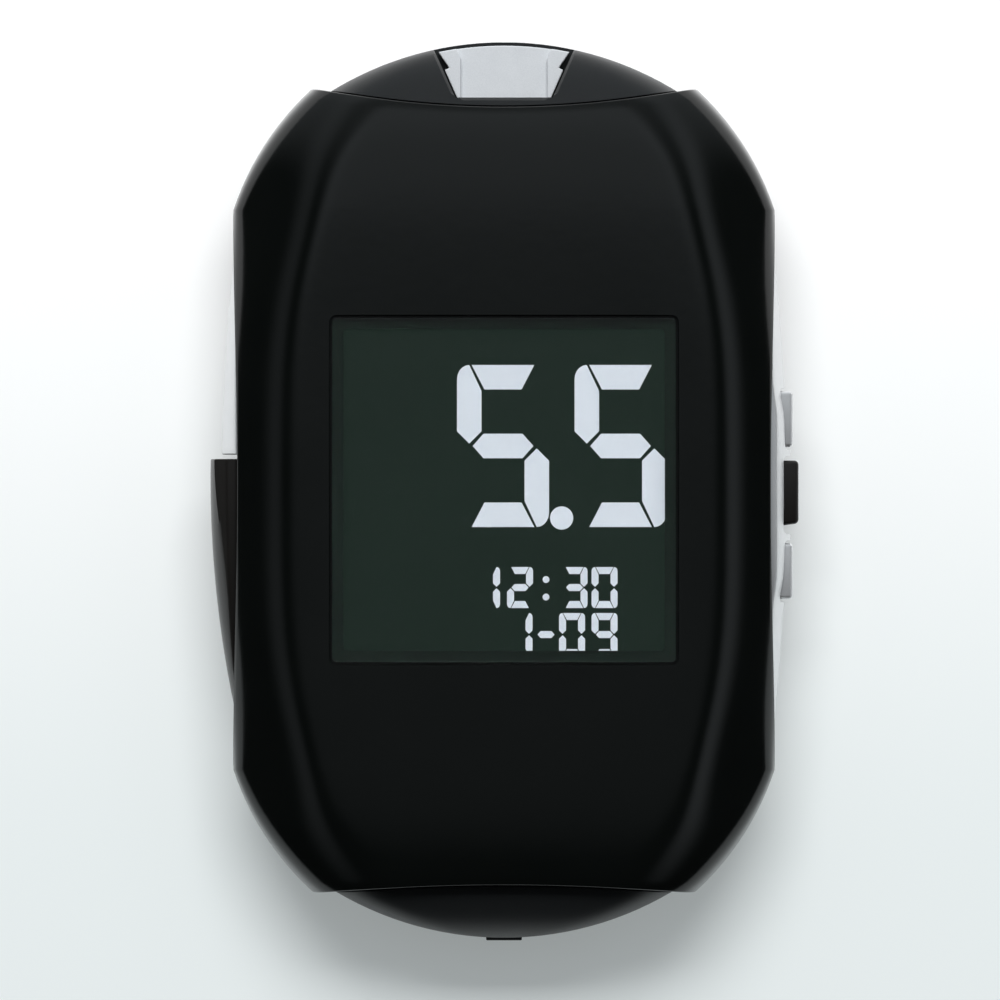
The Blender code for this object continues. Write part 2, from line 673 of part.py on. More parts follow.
def pocket_outline(room):
    x, y = CELL_AT
    half = CELL_RADIUS + room
    return rounded((-x - half, y - half), (x + half, y + half), half)


def battery_bay():
    low = (-DOOR_X - BAY_BORDER, DOOR_LOW_Y - BAY_BORDER)
    high = (DOOR_X + BAY_BORDER, DOOR_TOP_Y + BAY_BORDER)
    bay = extrude("bay_block", rounded(low, high, DOOR_CORNER + BAY_BORDER), WALL - BITE, BAY_TOP_Z)
    return keep_inside(bay, pebble("bay_bound", WALL / 2))


def rear_cover(finish):
    cover = pebble("rear_cover", 0, finish)
    cut(cover, pebble("rear_inside", WALL))
    fuse(cover, battery_bay())
    port_low = TRAY_LOW_Z - SEAT - SHELF_THICK
    start_y = BOARD_END_Y + SEAM + SEAT
    port = block("port_block", (-SHELF_X, start_y, port_low), (SHELF_X, NOSE_END_Y, FRONT_Z))
    fuse(cover, keep_inside(port, pebble("port_bound", BITE)))
    for side in (-1, 1):
        for label, (x, y) in (("top", TOP_SCREW), ("low", LOW_SCREW)):
            tag = label + ("_left" if side < 0 else "_right")
            fuse(cover, rod("rear_boss_" + tag, (side * x, y), BOSS_RADIUS + BITE, WALL - BITE, UNDER_BOARD_Z))
    pin_low = pin_span()[0]
    pin_boss = rod("pin_boss_lower", PIVOT, KNUCKLE_RADIUS, pin_low - WALL, rear_rim(PIVOT[1]) + SEAT, sides=16)
    fuse(cover, keep_inside(pin_boss, pebble("pin_bound", WALL / 2)))
    reach = SIDE_X + OVERRUN
    cut(cover, block("middle_room", (-reach, -LAP_Y, PARTING_Z), (reach, LAP_Y, FRONT_Z + OVERRUN)))
    cut(cover, skin("cover_room", cover_surface(-OVERRUN, SEAM), cover_surface(WALL + SEAM, SEAM)))
    cut(cover, side_window("left_window", -1), side_window("right_window", 1))
    cut(cover, rod("pin_hole_lower", PIVOT, PIN_RADIUS + SEAT, pin_low - SEAT, PARTING_Z + OVERRUN, sides=16))
    tray_low = TRAY_LOW_Z - SEAT
    cut(cover, extrude("notch", notch_outline(), tray_low, FRONT_Z + OVERRUN))
    tunnel_top = STRIP_Z + STRIP_ROOM
    far_y = TRAY_MOUTH_Y + BITE
    cut(cover, block("tunnel", (-TRAY_NARROW, start_y - OVERRUN, tray_low), (TRAY_NARROW, far_y, tunnel_top)))
    cut(cover, door_outline("door_opening", SEAM, -OVERRUN, WALL + DOOR_RISE))
    tongue_half = TONGUE_X + SEAM
    tongue_start = -NOSE_END_Y + 2 * OVERRUN
    tongue_low = (-tongue_half, -NOSE_END_Y - OVERRUN, -OVERRUN)
    cut(cover, block("tongue_room", tongue_low, (tongue_half, tongue_start, TONGUE_TOP_Z + SEAM)))
    cut(cover, extrude("pocket", pocket_outline(POCKET_ROOM), 0, POCKET_TOP_Z))
    for side in (-1, 1):
        cut_battery_slots(cover, side)
        cut_screw_holes(cover, side)
    return cover


def cut_battery_slots(cover, side):
    tag = "_left" if side < 0 else "_right"
    x, y = CELL_AT
    half = FINGER_WIDE / 2 + SEAT
    rim_y = y - CELL_RADIUS
    depth = POCKET_ROOM + 2 * FINGER_THICK
    low = (side * x - half, rim_y - depth, WALL)
    high = (side * x + half, rim_y + POCKET_ROOM, BAY_TOP_Z + OVERRUN)
    cut(cover, block("plus_slot" + tag, low, high))
    tail_y = y + FINGER_LONG / 2
    low = (side * x - half, tail_y - FINGER_THICK - SEAT, POCKET_TOP_Z - BITE)
    high = (side * x + half, tail_y + SEAT, BAY_TOP_Z + OVERRUN)
    cut(cover, block("minus_slot" + tag, low, high))
    half = HOOK_WIDE / 2 + RUN
    low = (side * HOOK_X - half, y + CELL_RADIUS, WALL)
    high = (side * HOOK_X + half, DOOR_TOP_Y + HOOK_REACH + RUN, WALL + SEAT + HOOK_THICK + HOOK_HEADROOM)
    slot = block("hook_slot" + tag, low, high)
    cut(cover, slot)


def cut_screw_holes(cover, side):
    for label, (x, y) in (("top", TOP_SCREW), ("low", LOW_SCREW)):
        tag = label + ("_left" if side < 0 else "_right")
        place = (side * x, y)
        head_low = screw_head_z(x, y)
        seat_z = head_low + SCREW_HEAD_THICK + SEAT
        cut(cover, rod("head_room_" + tag, place, SCREW_HEAD_RADIUS + SEAT, -OVERRUN, seat_z))
        cut(cover, rod("shank_room_" + tag, place, SCREW_RADIUS + SEAT, -OVERRUN, PARTING_Z))


def screw_head_z(x, y):
    """Height of a screw head's low face: sunk below the back's surface."""
    across = abs(x) / body_width(y)
    surface = PARTING_Z - (PARTING_Z + FLAT_SINK) * dome(y / NOSE_END_Y) * dome(across)
    return max(0, surface) + SCREW_SINK


def case_screw(name, place, finish):
    head_low = screw_head_z(*place)
    head_top = head_low + SCREW_HEAD_THICK
    tip = ON_BOARD_Z + SCREW_BITE
    profile = [
        (0, head_low),
        (SCREW_HEAD_RADIUS - SEAT, head_low),
        (SCREW_HEAD_RADIUS, head_low + SEAT),
        (SCREW_HEAD_RADIUS, head_top),
        (SCREW_RADIUS, head_top),
        (SCREW_RADIUS, tip - SCREW_RADIUS / 2),
        (SCREW_RADIUS / 2, tip),
        (0, tip),
    ]
    screw = lathe(name, profile, place, finish, sides=14)
    drive = rod("drive_" + name, place, DRIVE_RADIUS, head_low - OVERRUN, head_low + DRIVE_DEPTH, sides=6)
    return cut(screw, drive)


def display_window(finish):
    outline = about((0, 0), WINDOW_SIDE, WINDOW_SIDE, WINDOW_CORNER)
    return extrude("display_window", outline, LEDGE_TOP_Z + SEAT, WINDOW_TOP_Z, finish)


def window_gasket(finish):
    gasket_low = GASKET_TOP_Z - GASKET_THICK
    outer = about((0, 0), CELL_SIDE, CELL_SIDE, WINDOW_CORNER)
    inner_side = CELL_SIDE - 2 * GASKET_WIDE
    inner = about((0, 0), inner_side, inner_side, WINDOW_CORNER)
    gasket = extrude("window_gasket", outer, gasket_low, GASKET_TOP_Z, finish)
    return cut(gasket, extrude("gasket_opening", inner, gasket_low - OVERRUN, FRONT_Z))


def square(name, side, low, high, finish=None):
    half = side / 2
    return block(name, (-half, -half, low), (half, half, high), finish)


def display_cell(finish):
    return square("display_cell", CELL_SIDE, CELL_LOW_Z, CELL_TOP_Z, finish)


def light_guide(finish):
    half = CELL_SIDE / 2
    low_y = -half + ZEBRA_WIDE + 2 * SEAT
    high_y = half - LAMP_DEEP - 2 * SEAT
    return block("light_guide", (-half, low_y, GUIDE_LOW_Z), (half, high_y, GUIDE_TOP_Z), finish)


def zebra_low_y():
    return -CELL_SIDE / 2 + SEAT


def display_frame(finish):
    frame = square("display_frame", 2 * FRAME_HALF, ON_BOARD_Z, FRAME_TOP_Z, finish)
    cut(frame, square("frame_inside", CELL_SIDE + 2 * SEAT, GUIDE_LOW_Z - SEAT, FRONT_Z))
    half = CELL_SIDE / 2 - ZEBRA_SIDE_ROOM + RUN
    low_y = zebra_low_y()
    high = (half, low_y + ZEBRA_WIDE + SEAT, FRONT_Z)
    return cut(frame, block("zebra_slot", (-half, low_y - SEAT, PARTING_Z), high))


def zebra_strip(finish):
    half = CELL_SIDE / 2 - ZEBRA_SIDE_ROOM
    low_y = zebra_low_y()
    return block("zebra_strip", (-half, low_y, ON_BOARD_Z), (half, low_y + ZEBRA_WIDE - SEAT, GUIDE_TOP_Z), finish)


def lamp(name, side, finish):
    far_y = CELL_SIDE / 2 - SEAT
    half = LAMP_LONG / 2
    low = (side * LAMP_X - half, far_y - LAMP_DEEP, GUIDE_LOW_Z)
    return block(name, low, (side * LAMP_X + half, far_y, GUIDE_TOP_Z), finish)


def main_board(finish):
    low = (-BOARD_X, -BOARD_END_Y)
    high = (BOARD_X, BOARD_END_Y)
    board = extrude("main_board", rounded(low, high, BOARD_CORNER), BOARD_LOW_Z, BOARD_TOP_Z, finish)
    for side in (-1, 1):
        for label, (x, y) in (("top", TOP_SCREW), ("low", LOW_SCREW)):
            tag = label + ("_left" if side < 0 else "_right")
            hole = rod("board_hole_" + tag, (side * x, y), SCREW_RADIUS + RUN, 0, FRONT_Z, sides=16)
            cut(board, hole)
    return board


def controller_chip(finish):
    low = UNDER_BOARD_Z - CHIP_THICK
    return extrude("controller_chip", about(CHIP_AT, CHIP_SIDE, CHIP_SIDE, SEAT), low, UNDER_BOARD_Z, finish)


def memory_chip(finish):
    wide, long, thick = MEMORY_SIZE
    outline = about(MEMORY_AT, wide, long, SEAT)
    return extrude("memory_chip", outline, UNDER_BOARD_Z - thick, UNDER_BOARD_Z, finish)


def buzzer(finish):
    low = UNDER_BOARD_Z - BUZZER_THICK
    profile = [
        (0, low + SEAT),
        (SCREW_RADIUS, low + SEAT),
        (SCREW_RADIUS, low),
        (BUZZER_RADIUS - SEAT, low),
        (BUZZER_RADIUS, low + SEAT),
        (BUZZER_RADIUS, UNDER_BOARD_Z),
        (0, UNDER_BOARD_Z),
    ]
    return lathe("buzzer", profile, BUZZER_AT, finish)


def strip_connector(finish):
    half = STRIP_WIDE / 2
    outer = half + CONNECTOR_SIDE
    low_y, high_y = CONNECTOR_Y
    body = block("strip_connector", (-outer, low_y, ON_BOARD_Z), (outer, high_y, CONNECTOR_TOP_Z), finish)
    channel_top = STRIP_Z + STRIP_ROOM
    cut(body, block("strip_channel", (-half, low_y - OVERRUN, STRIP_Z), (half, high_y + OVERRUN, channel_top)))
    for k in range(CONTACT_COUNT):
        x = contact_x(k)
        wide = CONTACT_WIDE / 2 + SEAT
        low = (x - wide, contact_start_y() - SEAT, channel_top - BITE)
        high = (x + wide, contact_start_y() + CONTACT_LONG + SEAT, channel_top + CONTACT_THICK + 2 * SEAT)
        cut(body, block("contact_groove_" + str(k + 1), low, high))
    return body


def contact_x(k):
    return STRIP_WIDE * ((k + 0.5) / CONTACT_COUNT - 0.5)


def contact_start_y():
    return CONNECTOR_Y[1] - CONTACT_LONG - 2 * SEAT


def strip_contact(k, finish):
    """A leaf in the connector's roof that dips towards the strip near the mouth."""
    start = contact_start_y()
    top = STRIP_Z + STRIP_ROOM + CONTACT_THICK + SEAT
    dip = top - CONTACT_DIP
    upper = [(start, top), (start + CONTACT_LONG * 0.6, top)]
    upper += [(start + CONTACT_LONG * 0.86, dip), (start + CONTACT_LONG, dip + CONTACT_THICK)]
    lower = [(y, z - CONTACT_THICK) for y, z in reversed(upper)]
    x = contact_x(k)
    half = CONTACT_WIDE / 2
    return extrude("strip_contact_" + str(k + 1), upper + lower, x - half, x + half, finish, axis="X")


def strip_tray(finish):
    """The open tray that the test strip slides in on, with rails at its sides and a flared mouth."""
    slope = (TRAY_WIDE - TRAY_NARROW) / (TRAY_END_Y - TRAY_MOUTH_Y)
    inner_y = CONNECTOR_Y[1] + SEAM + SEAT
    narrow = TRAY_NARROW - SEAM
    step = narrow + slope * (TRAY_STEP_Y - TRAY_MOUTH_Y)
    outer = narrow + slope * (TRAY_END_Y - TRAY_MOUTH_Y) - TRAY_STEP
    arc = NOSE_ARC - (NOSE_END_Y - TRAY_END_Y)
    shares = [k / ARC_STEPS for k in range(ARC_STEPS, -ARC_STEPS - 1, -1)]
    end = [(outer * s, NOSE_ARC_Y + math.sqrt(arc**2 - (outer * s) ** 2)) for s in shares]
    right = [(narrow, inner_y), (narrow, TRAY_MOUTH_Y), (step, TRAY_STEP_Y), (step - TRAY_STEP, TRAY_STEP_Y + SEAM)]
    left = [(-x, y) for x, y in reversed(right)]
    tray = extrude("strip_tray", right + end + left, TRAY_LOW_Z, STRIP_Z + TRAY_RAIL, finish)
    half = TRAY_CHANNEL / 2
    mouth = TRAY_END_Y + OVERRUN
    flare = half + TRAY_FLARE
    flare_y = TRAY_END_Y - TRAY_FLARE_LONG
    channel = [(-half, inner_y - OVERRUN), (half, inner_y - OVERRUN), (half, flare_y), (flare, TRAY_END_Y)]
    channel += [(flare, mouth), (-flare, mouth), (-flare, TRAY_END_Y), (-half, flare_y)]
    return cut(tray, extrude("tray_channel", channel, STRIP_Z, FRONT_Z))


def plateau(y):
    """The raised pad round the keys, blended into the trim."""
    away = abs(y - KEY_ROW_Y) - PLATEAU_HALF
    share = min(1, max(0, away / PLATEAU_BLEND))
    return PLATEAU_RISE * (1 - share * share * (3 - 2 * share))


def side_band(name, side, ys, reach, wall, drop, gap, finish):
    """A curved band in one side window: reach(y) is its widest half width at y."""
    outer, inner = [], []
    full = (ARCH_RISE + ARCH_FALL) / 2
    for y in ys:
        low = rear_rim(y) + gap
        high = front_rim(y) - gap
        middle = (low + high) / 2
        outer_row, inner_row = [], []
        for k in range(-TRIM_COLUMNS // 2, TRIM_COLUMNS // 2 + 1):
            z = middle + (high - low) * k / TRIM_COLUMNS
            x = reach(y) - drop * ((z - middle) / full) ** 2
            outer_row.append((side * x, y, z))
            inner_row.append((side * (x - wall), y, z))
        outer.append(outer_row)
        inner.append(inner_row)
    return skin(name, outer, inner, finish)


def spread(low, high, count):
    return [low + (high - low) * k / count for k in range(count + 1)]


def left_side_trim(finish):
    ys = spread(LEVER_TOP_Y + LEVER_GAP_Y, TRIM_END_Y, TRIM_ROWS // 2)

    def reach(y):
        return TRIM_X - TRIM_BOW * (y / TRIM_END_Y) ** 2

    return side_band("left_side_trim", -1, ys, reach, TRIM_WALL, TRIM_EDGE_DROP, SEAM, finish)


def right_side_trim(finish):
    def reach(y):
        return TRIM_X - TRIM_BOW * (y / TRIM_END_Y) ** 2 + plateau(y)

    ys = spread(-TRIM_END_Y, TRIM_END_Y, TRIM_ROWS)
    trim = side_band("right_side_trim", 1, ys, reach, TRIM_WALL, TRIM_EDGE_DROP, SEAM, finish)
    for name, y, long, tall, _x in key_table():
        half = long / 2 + RUN
        rise = tall / 2 + RUN
        low = (SIDE_X - 2 * OVERRUN, y - half, KEY_Z - rise)
        cut(trim, block(name + "_hole", low, (SIDE_X + OVERRUN, y + half, KEY_Z + rise)))
    return trim


def key_table():
    """(name, y, length, height, outer x) of each key on the right side."""
    scroll_x = TRIM_X + PLATEAU_RISE + SCROLL_PROUD
    return (
        ("up_key", KEY_ROW_Y + KEY_PITCH, SCROLL_LONG, SCROLL_TALL, scroll_x),
        ("enter_key", KEY_ROW_Y, ENTER_LONG, ENTER_TALL, ENTER_X),
        ("down_key", KEY_ROW_Y - KEY_PITCH, SCROLL_LONG, SCROLL_TALL, scroll_x),
    )


def side_key(name, y, long, tall, outer_x, finish):
    """A key cap with a crowned face, a flange behind the trim and a stud against its switch."""
    half = tall / 2
    steps = [k / 3 for k in range(-3, 4)]
    face = [(outer_x - KEY_ROUND * s * s, KEY_Z + half * s) for s in steps]
    outline = [(KEY_INNER_X - BITE, KEY_Z - half)] + face + [(KEY_INNER_X - BITE, KEY_Z + half)]
    key = extrude(name, outline, y - long / 2, y + long / 2, finish, axis="Y")
    bevel(key, KEY_ROUND)
    wide = long / 2 + KEY_FLANGE
    rise = half + KEY_FLANGE
    back = KEY_INNER_X - KEY_FLANGE_THICK
    fuse(key, block(name + "_flange", (back, y - wide, KEY_Z - rise), (KEY_INNER_X, y + wide, KEY_Z + rise)))
    stud = POST_SIDE / 2
    z = plunger_z()
    stud_x = plunger_tip_x() + SEAT
    return fuse(key, block(name + "_stud", (stud_x, y - stud, z - stud), (back + BITE, y + stud, z + stud)))


def plunger_z():
    return ON_BOARD_Z + SWITCH_TALL / 2


def plunger_tip_x():
    return SWITCH_X + SWITCH_DEEP + PLUNGER_PROUD


def side_switch(name, y, finish):
    half = SWITCH_LONG / 2
    front = SWITCH_X + SWITCH_DEEP
    body = block(name, (SWITCH_X, y - half, ON_BOARD_Z), (front, y + half, ON_BOARD_Z + SWITCH_TALL), finish)
    hole = PLUNGER_SIDE / 2 + SEAT
    z = plunger_z()
    low = (front - SWITCH_HOLE, y - hole, z - hole)
    return cut(body, block(name + "_hole", low, (front + OVERRUN, y + hole, z + hole)))


def switch_plunger(name, y, finish):
    half = PLUNGER_SIDE / 2
    z = plunger_z()
    back = SWITCH_X + SWITCH_DEEP - SWITCH_HOLE + KEY_TRAVEL + SEAT
    return block(name, (back, y - half, z - half), (plunger_tip_x(), y + half, z + half), finish)


def eject_lever(finish):
    def reach(y):
        return LEVER_X - LEVER_BOW * ((y - LEVER_CREST_Y) / (LEVER_LOW_Y - LEVER_CREST_Y)) ** 2

    ys = spread(LEVER_LOW_Y, LEVER_TOP_Y, TRIM_ROWS // 2)
    lever = side_band("eject_lever", -1, ys, reach, LEVER_WALL, LEVER_EDGE_DROP, RUN, finish)
    low = rear_rim(PIVOT[1]) + RUN
    high = front_rim(PIVOT[1]) - RUN
    fuse(lever, rod("knuckle", PIVOT, KNUCKLE_RADIUS, low, high, sides=16))
    cut(lever, rod("knuckle_bore", PIVOT, PIN_RADIUS + SEAT, 0, FRONT_Z, sides=16))
    nub_y = CRANK[1] - CRANK_ARM
    tip_x = CRANK[0] - CRANK_HALF - RUN
    root_x = -(LEVER_X - LEVER_WALL - BITE)
    finger_low = (root_x, nub_y - NUB_RADIUS, CRANK_Z)
    finger = block("lever_finger", finger_low, (tip_x - NUB_RADIUS, nub_y + NUB_RADIUS, CRANK_Z + CRANK_THICK))
    fuse(lever, finger)
    nub = rod("lever_nub", (tip_x - NUB_RADIUS, nub_y), NUB_RADIUS, CRANK_Z, CRANK_Z + CRANK_THICK, sides=16)
    fuse(lever, nub)
    return put_origin(lever, (*PIVOT, 0))


def lever_pin(finish):
    low, high = pin_span()
    return rod("lever_pin", PIVOT, PIN_RADIUS, low, high, finish, sides=14)


def arm(name, start, end, half, low, high):
    """A straight bar in plan with round ends."""
    turn = math.atan2(end[1] - start[1], end[0] - start[0])
    points = []
    for centre, base in ((end, turn - math.pi / 2), (start, turn + math.pi / 2)):
        for k in range(ARC_STEPS + 1):
            angle = base + math.pi * k / ARC_STEPS
            points.append((centre[0] + half * math.cos(angle), centre[1] + half * math.sin(angle)))
    return extrude(name, points, low, high)


def eject_crank(finish):
    """Turns the lever's short push into the pusher's longer stroke."""
    top = CRANK_Z + CRANK_THICK
    hub_low = ON_BOARD_Z + SEAT
    crank = rod("eject_crank", CRANK, CRANK_HUB, hub_low, top, finish)
    pin = (0, PUSHER_PIN_Y)
    foot = (CRANK[0], CRANK[1] - CRANK_ARM)
    fuse(crank, arm("crank_foot", CRANK, foot, CRANK_HALF, CRANK_Z, top))
    fuse(crank, arm("crank_shin", CRANK, ELBOW, CRANK_HALF, CRANK_Z, top))
    fuse(crank, arm("crank_reach", ELBOW, pin, CRANK_HALF, CRANK_Z, top))
    fuse(crank, rod("crank_pin", pin, PUSHER_PIN, pusher_low_z() + SEAT, top - SEAT, sides=16))
    cut(crank, rod("crank_bore", CRANK, CRANK_POST + SEAT, 0, FRONT_Z, sides=16))
    return put_origin(crank, (*CRANK, 0))


def pusher_low_z():
    return STRIP_Z + SEAT


def strip_pusher(finish):
    """Slides behind the test strip. The crank's pin works in the cross slot at its near end."""
    low = pusher_low_z()
    high = low + PUSHER_THICK
    half = PUSHER_WIDE / 2
    tail_y = PUSHER_PIN_Y - SLOT_DROP - 2 * PUSHER_PIN
    near_y = PUSHER_PIN_Y + SLOT_DROP + 2 * PUSHER_PIN
    far_x = -SLOT_LONG - 2 * PUSHER_PIN
    outline = [(far_x, tail_y), (half, tail_y), (half, PUSHER_END_Y), (-half, PUSHER_END_Y)]
    outline += [(-half, near_y), (far_x, near_y)]
    pusher = extrude("strip_pusher", outline, low, high, finish)
    slot_half = PUSHER_PIN + RUN
    slot_low = (-SLOT_LONG - slot_half, PUSHER_PIN_Y - slot_half, 0)
    return cut(pusher, block("pusher_slot", slot_low, (slot_half, PUSHER_PIN_Y + slot_half, FRONT_Z)))


def crank_spring(finish):
    """A torsion coil round the crank's post: one leg lies over the crank's arm, one over the board."""
    base = CRANK_Z + CRANK_THICK + SEAT + COIL_WIRE / 2
    pitch = COIL_WIRE + SEAT / 2
    count = COIL_TURNS * COIL_POINTS
    path = [(CRANK[0] + COIL_RADIUS, CRANK[1] + COIL_LEG, base)]
    for k in range(count + 1):
        turn = 2 * math.pi * k / COIL_POINTS
        x = CRANK[0] + COIL_RADIUS * math.cos(turn)
        y = CRANK[1] + COIL_RADIUS * math.sin(turn)
        path.append((x, y, base + pitch * k / COIL_POINTS))
    last = path[-1]
    path.append((last[0], last[1] - COIL_LEG, last[2]))
    return wire("crank_spring", path, COIL_WIRE / 2, finish)


def wire(name, path, radius, finish, sides=6):
    """A round wire along a path, closed at both ends."""
    path = [Vector(p) for p in path]
    points, faces = [], []
    for k, here in enumerate(path):
        before = path[max(0, k - 1)]
        after = path[min(len(path) - 1, k + 1)]
        along = (after - before).normalized()
        side = along.cross(Vector((0, 0, 1))).normalized()
        up = side.cross(along).normalized()
        for n in range(sides):
            turn = 2 * math.pi * n / sides
            points.append(here + side * (radius * math.cos(turn)) + up * (radius * math.sin(turn)))
    for k in range(len(path) - 1):
        base = k * sides
        for n in range(sides):
            after = (n + 1) % sides
            faces.append((base + n, base + after, base + sides + after, base + sides + n))
    faces.append(tuple(range(sides)))
    faces.append(tuple(range((len(path) - 1) * sides, len(path) * sides)))
    return mesh_object(name, points, faces, finish)


def battery(name, side, finish):
    """A coin cell: a wide can below and its narrower cap above."""
    step = CAN_STEP
    profile = [
        (0, BATTERY_LOW_Z),
        (CELL_RADIUS - step, BATTERY_LOW_Z),
        (CELL_RADIUS, BATTERY_LOW_Z + step),
        (CELL_RADIUS, BATTERY_TOP_Z - step),
        (CELL_RADIUS - step, BATTERY_TOP_Z - step / 2),
        (CELL_RADIUS - 2 * step, BATTERY_TOP_Z - step / 2),
        (CELL_RADIUS - 3 * step, BATTERY_TOP_Z),
        (0, BATTERY_TOP_Z),
    ]
    return lathe(name, profile, (side * CELL_AT[0], CELL_AT[1]), finish, sides=28)


def minus_contact(name, side, finish):
    """A leaf under the bay's ceiling that dips to the cell's cap, with a tail up to the board."""
    start = CELL_AT[1] - FINGER_LONG / 2
    end = CELL_AT[1] + FINGER_LONG / 2
    top = POCKET_TOP_Z - SEAT
    dip = BATTERY_TOP_Z + SEAT + FINGER_THICK
    middle = CELL_AT[1]
    outline = [(start, top), (start, top - FINGER_THICK), (middle, dip - FINGER_THICK)]
    outline += [(end, top - FINGER_THICK), (end, UNDER_BOARD_Z), (end - FINGER_THICK, UNDER_BOARD_Z)]
    outline += [(end - FINGER_THICK, top), (middle, dip)]
    half = FINGER_WIDE / 2
    x = side * CELL_AT[0]
    return extrude(name, outline, x - half, x + half, finish, axis="X")


def plus_contact(name, side, finish):
    """A leaf beside the cell's rim, with a tail up to the board."""
    x = side * CELL_AT[0]
    half = FINGER_WIDE / 2
    near_y = CELL_AT[1] - CELL_RADIUS - SEAM
    low = (x - half, near_y - FINGER_THICK, BATTERY_LOW_Z + 2 * CAN_STEP)
    return block(name, low, (x + half, near_y, UNDER_BOARD_Z), finish)


def battery_door(finish):
    """Part of the case's own shell, with a tongue up the low end, a lip on it and two hooks."""
    door = pebble("battery_door", 0, finish)
    cut(door, pebble("door_inside", WALL))
    keep_inside(door, door_outline("door_plan", 0, -OVERRUN, TONGUE_TOP_Z))
    cut(door, extrude("door_pocket", pocket_outline(POCKET_ROOM), WALL, POCKET_TOP_Z))
    tongue_end = -NOSE_END_Y - LIP_PROUD
    lip_low, lip_high = LIP_Z
    slope = LIP_PROUD
    outline = [
        (-NOSE_END_Y + WALL / 2, lip_low),
        (-NOSE_END_Y + BITE, lip_low - slope),
        (tongue_end, lip_low + slope),
        (tongue_end, lip_high - slope),
        (-NOSE_END_Y + BITE, lip_high),
        (-NOSE_END_Y + WALL / 2, lip_high),
    ]
    fuse(door, extrude("door_lip", outline, -LIP_WIDE / 2, LIP_WIDE / 2, axis="X"))
    for side in (-1, 1):
        half = HOOK_WIDE / 2
        x = side * HOOK_X
        base = WALL + SEAT
        outline = [
            (DOOR_TOP_Y - HOOK_ROOT, WALL - BITE),
            (DOOR_TOP_Y - SEAM, WALL - BITE),
            (DOOR_TOP_Y - SEAM, base),
            (DOOR_TOP_Y + HOOK_REACH, base),
            (DOOR_TOP_Y + HOOK_REACH, base + HOOK_THICK / 2),
            (DOOR_TOP_Y + HOOK_REACH - HOOK_THICK / 2, base + HOOK_THICK),
            (DOOR_TOP_Y - HOOK_ROOT / 2, base + HOOK_THICK),
        ]
        tag = "_left" if side < 0 else "_right"
        fuse(door, extrude("door_hook" + tag, outline, x - half, x + half, axis="X"))
    return put_origin(door, (0, DOOR_TOP_Y, 0))


def paints():
    return {
        "black": material("black_gloss", (0.012, 0.013, 0.015), 0.16),
        "grey": material("dark_case", (0.02, 0.022, 0.024), 0.4),
        "silver": material("silver_paint", (0.66, 0.68, 0.7), 0.34, 0.6),
        "white": material("port_white", (0.74, 0.76, 0.78), 0.5),
        "key": material("key_black", (0.015, 0.015, 0.017), 0.35),
        "window": material("window_clear", (0.1, 0.12, 0.11), 0.05),
        "cell": material("display_glass", (0.03, 0.045, 0.04), 0.2),
        "guide": material("guide_clear", (0.8, 0.85, 0.86), 0.2),
        "rubber": material("seal_rubber", (0.02, 0.02, 0.02), 0.8),
        "frame": material("frame_white", (0.6, 0.6, 0.58), 0.5),
        "board": material("board_green", (0.02, 0.12, 0.05), 0.45),
        "chip": material("chip_black", (0.02, 0.02, 0.022), 0.5),
        "inner": material("inner_white", (0.55, 0.55, 0.53), 0.5),
        "steel": material("bright_steel", (0.6, 0.6, 0.6), 0.25, 1.0),
        "gold": material("gold_contact", (0.83, 0.6, 0.25), 0.25, 1.0),
        "cell_steel": material("cell_steel", (0.62, 0.62, 0.6), 0.22, 1.0),
    }


def build():
    clear_scene()
    look = paints()
    front_cover(look["black"])
    display_window(look["window"])
    window_gasket(look["rubber"])
    display_cell(look["cell"])
    light_guide(look["guide"])
    display_frame(look["frame"])
    zebra_strip(look["rubber"])
    lamp("lamp_left", -1, look["inner"])
    lamp("lamp_right", 1, look["inner"])
    main_board(look["board"])
    controller_chip(look["chip"])
    memory_chip(look["chip"])
    buzzer(look["chip"])
    strip_connector(look["inner"])
    for k in range(CONTACT_COUNT):
        strip_contact(k, look["gold"])
    strip_tray(look["white"])
    rear_cover(look["grey"])
    left_side_trim(look["silver"])
    right_side_trim(look["silver"])
    for name, y, long, tall, outer_x in key_table():
        side_key(name, y, long, tall, outer_x, look["key"] if name == "enter_key" else look["silver"])
        switch = name.replace("_key", "_switch")
        side_switch(switch, y, look["chip"])
        switch_plunger(name.replace("_key", "_plunger"), y, look["inner"])
    eject_lever(look["key"])
    lever_pin(look["steel"])
    eject_crank(look["inner"])
    crank_spring(look["steel"])
    strip_pusher(look["inner"])
    for tag, side in (("left", -1), ("right", 1)):
        battery("battery_" + tag, side, look["cell_steel"])
        minus_contact("minus_contact_" + tag, side, look["gold"])
        plus_contact("plus_contact_" + tag, side, look["gold"])
        for label, (x, y) in (("top", TOP_SCREW), ("low", LOW_SCREW)):
            case_screw("screw_" + label + "_" + tag, (side * x, y), look["steel"])
    battery_door(look["grey"])


build()
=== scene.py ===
"""Looks of a blood glucose meter that lies on its back, seen from straight above its display.
+X is its right side with the keys, +Y its strip-port end, +Z out of the display, in metres."""

import math

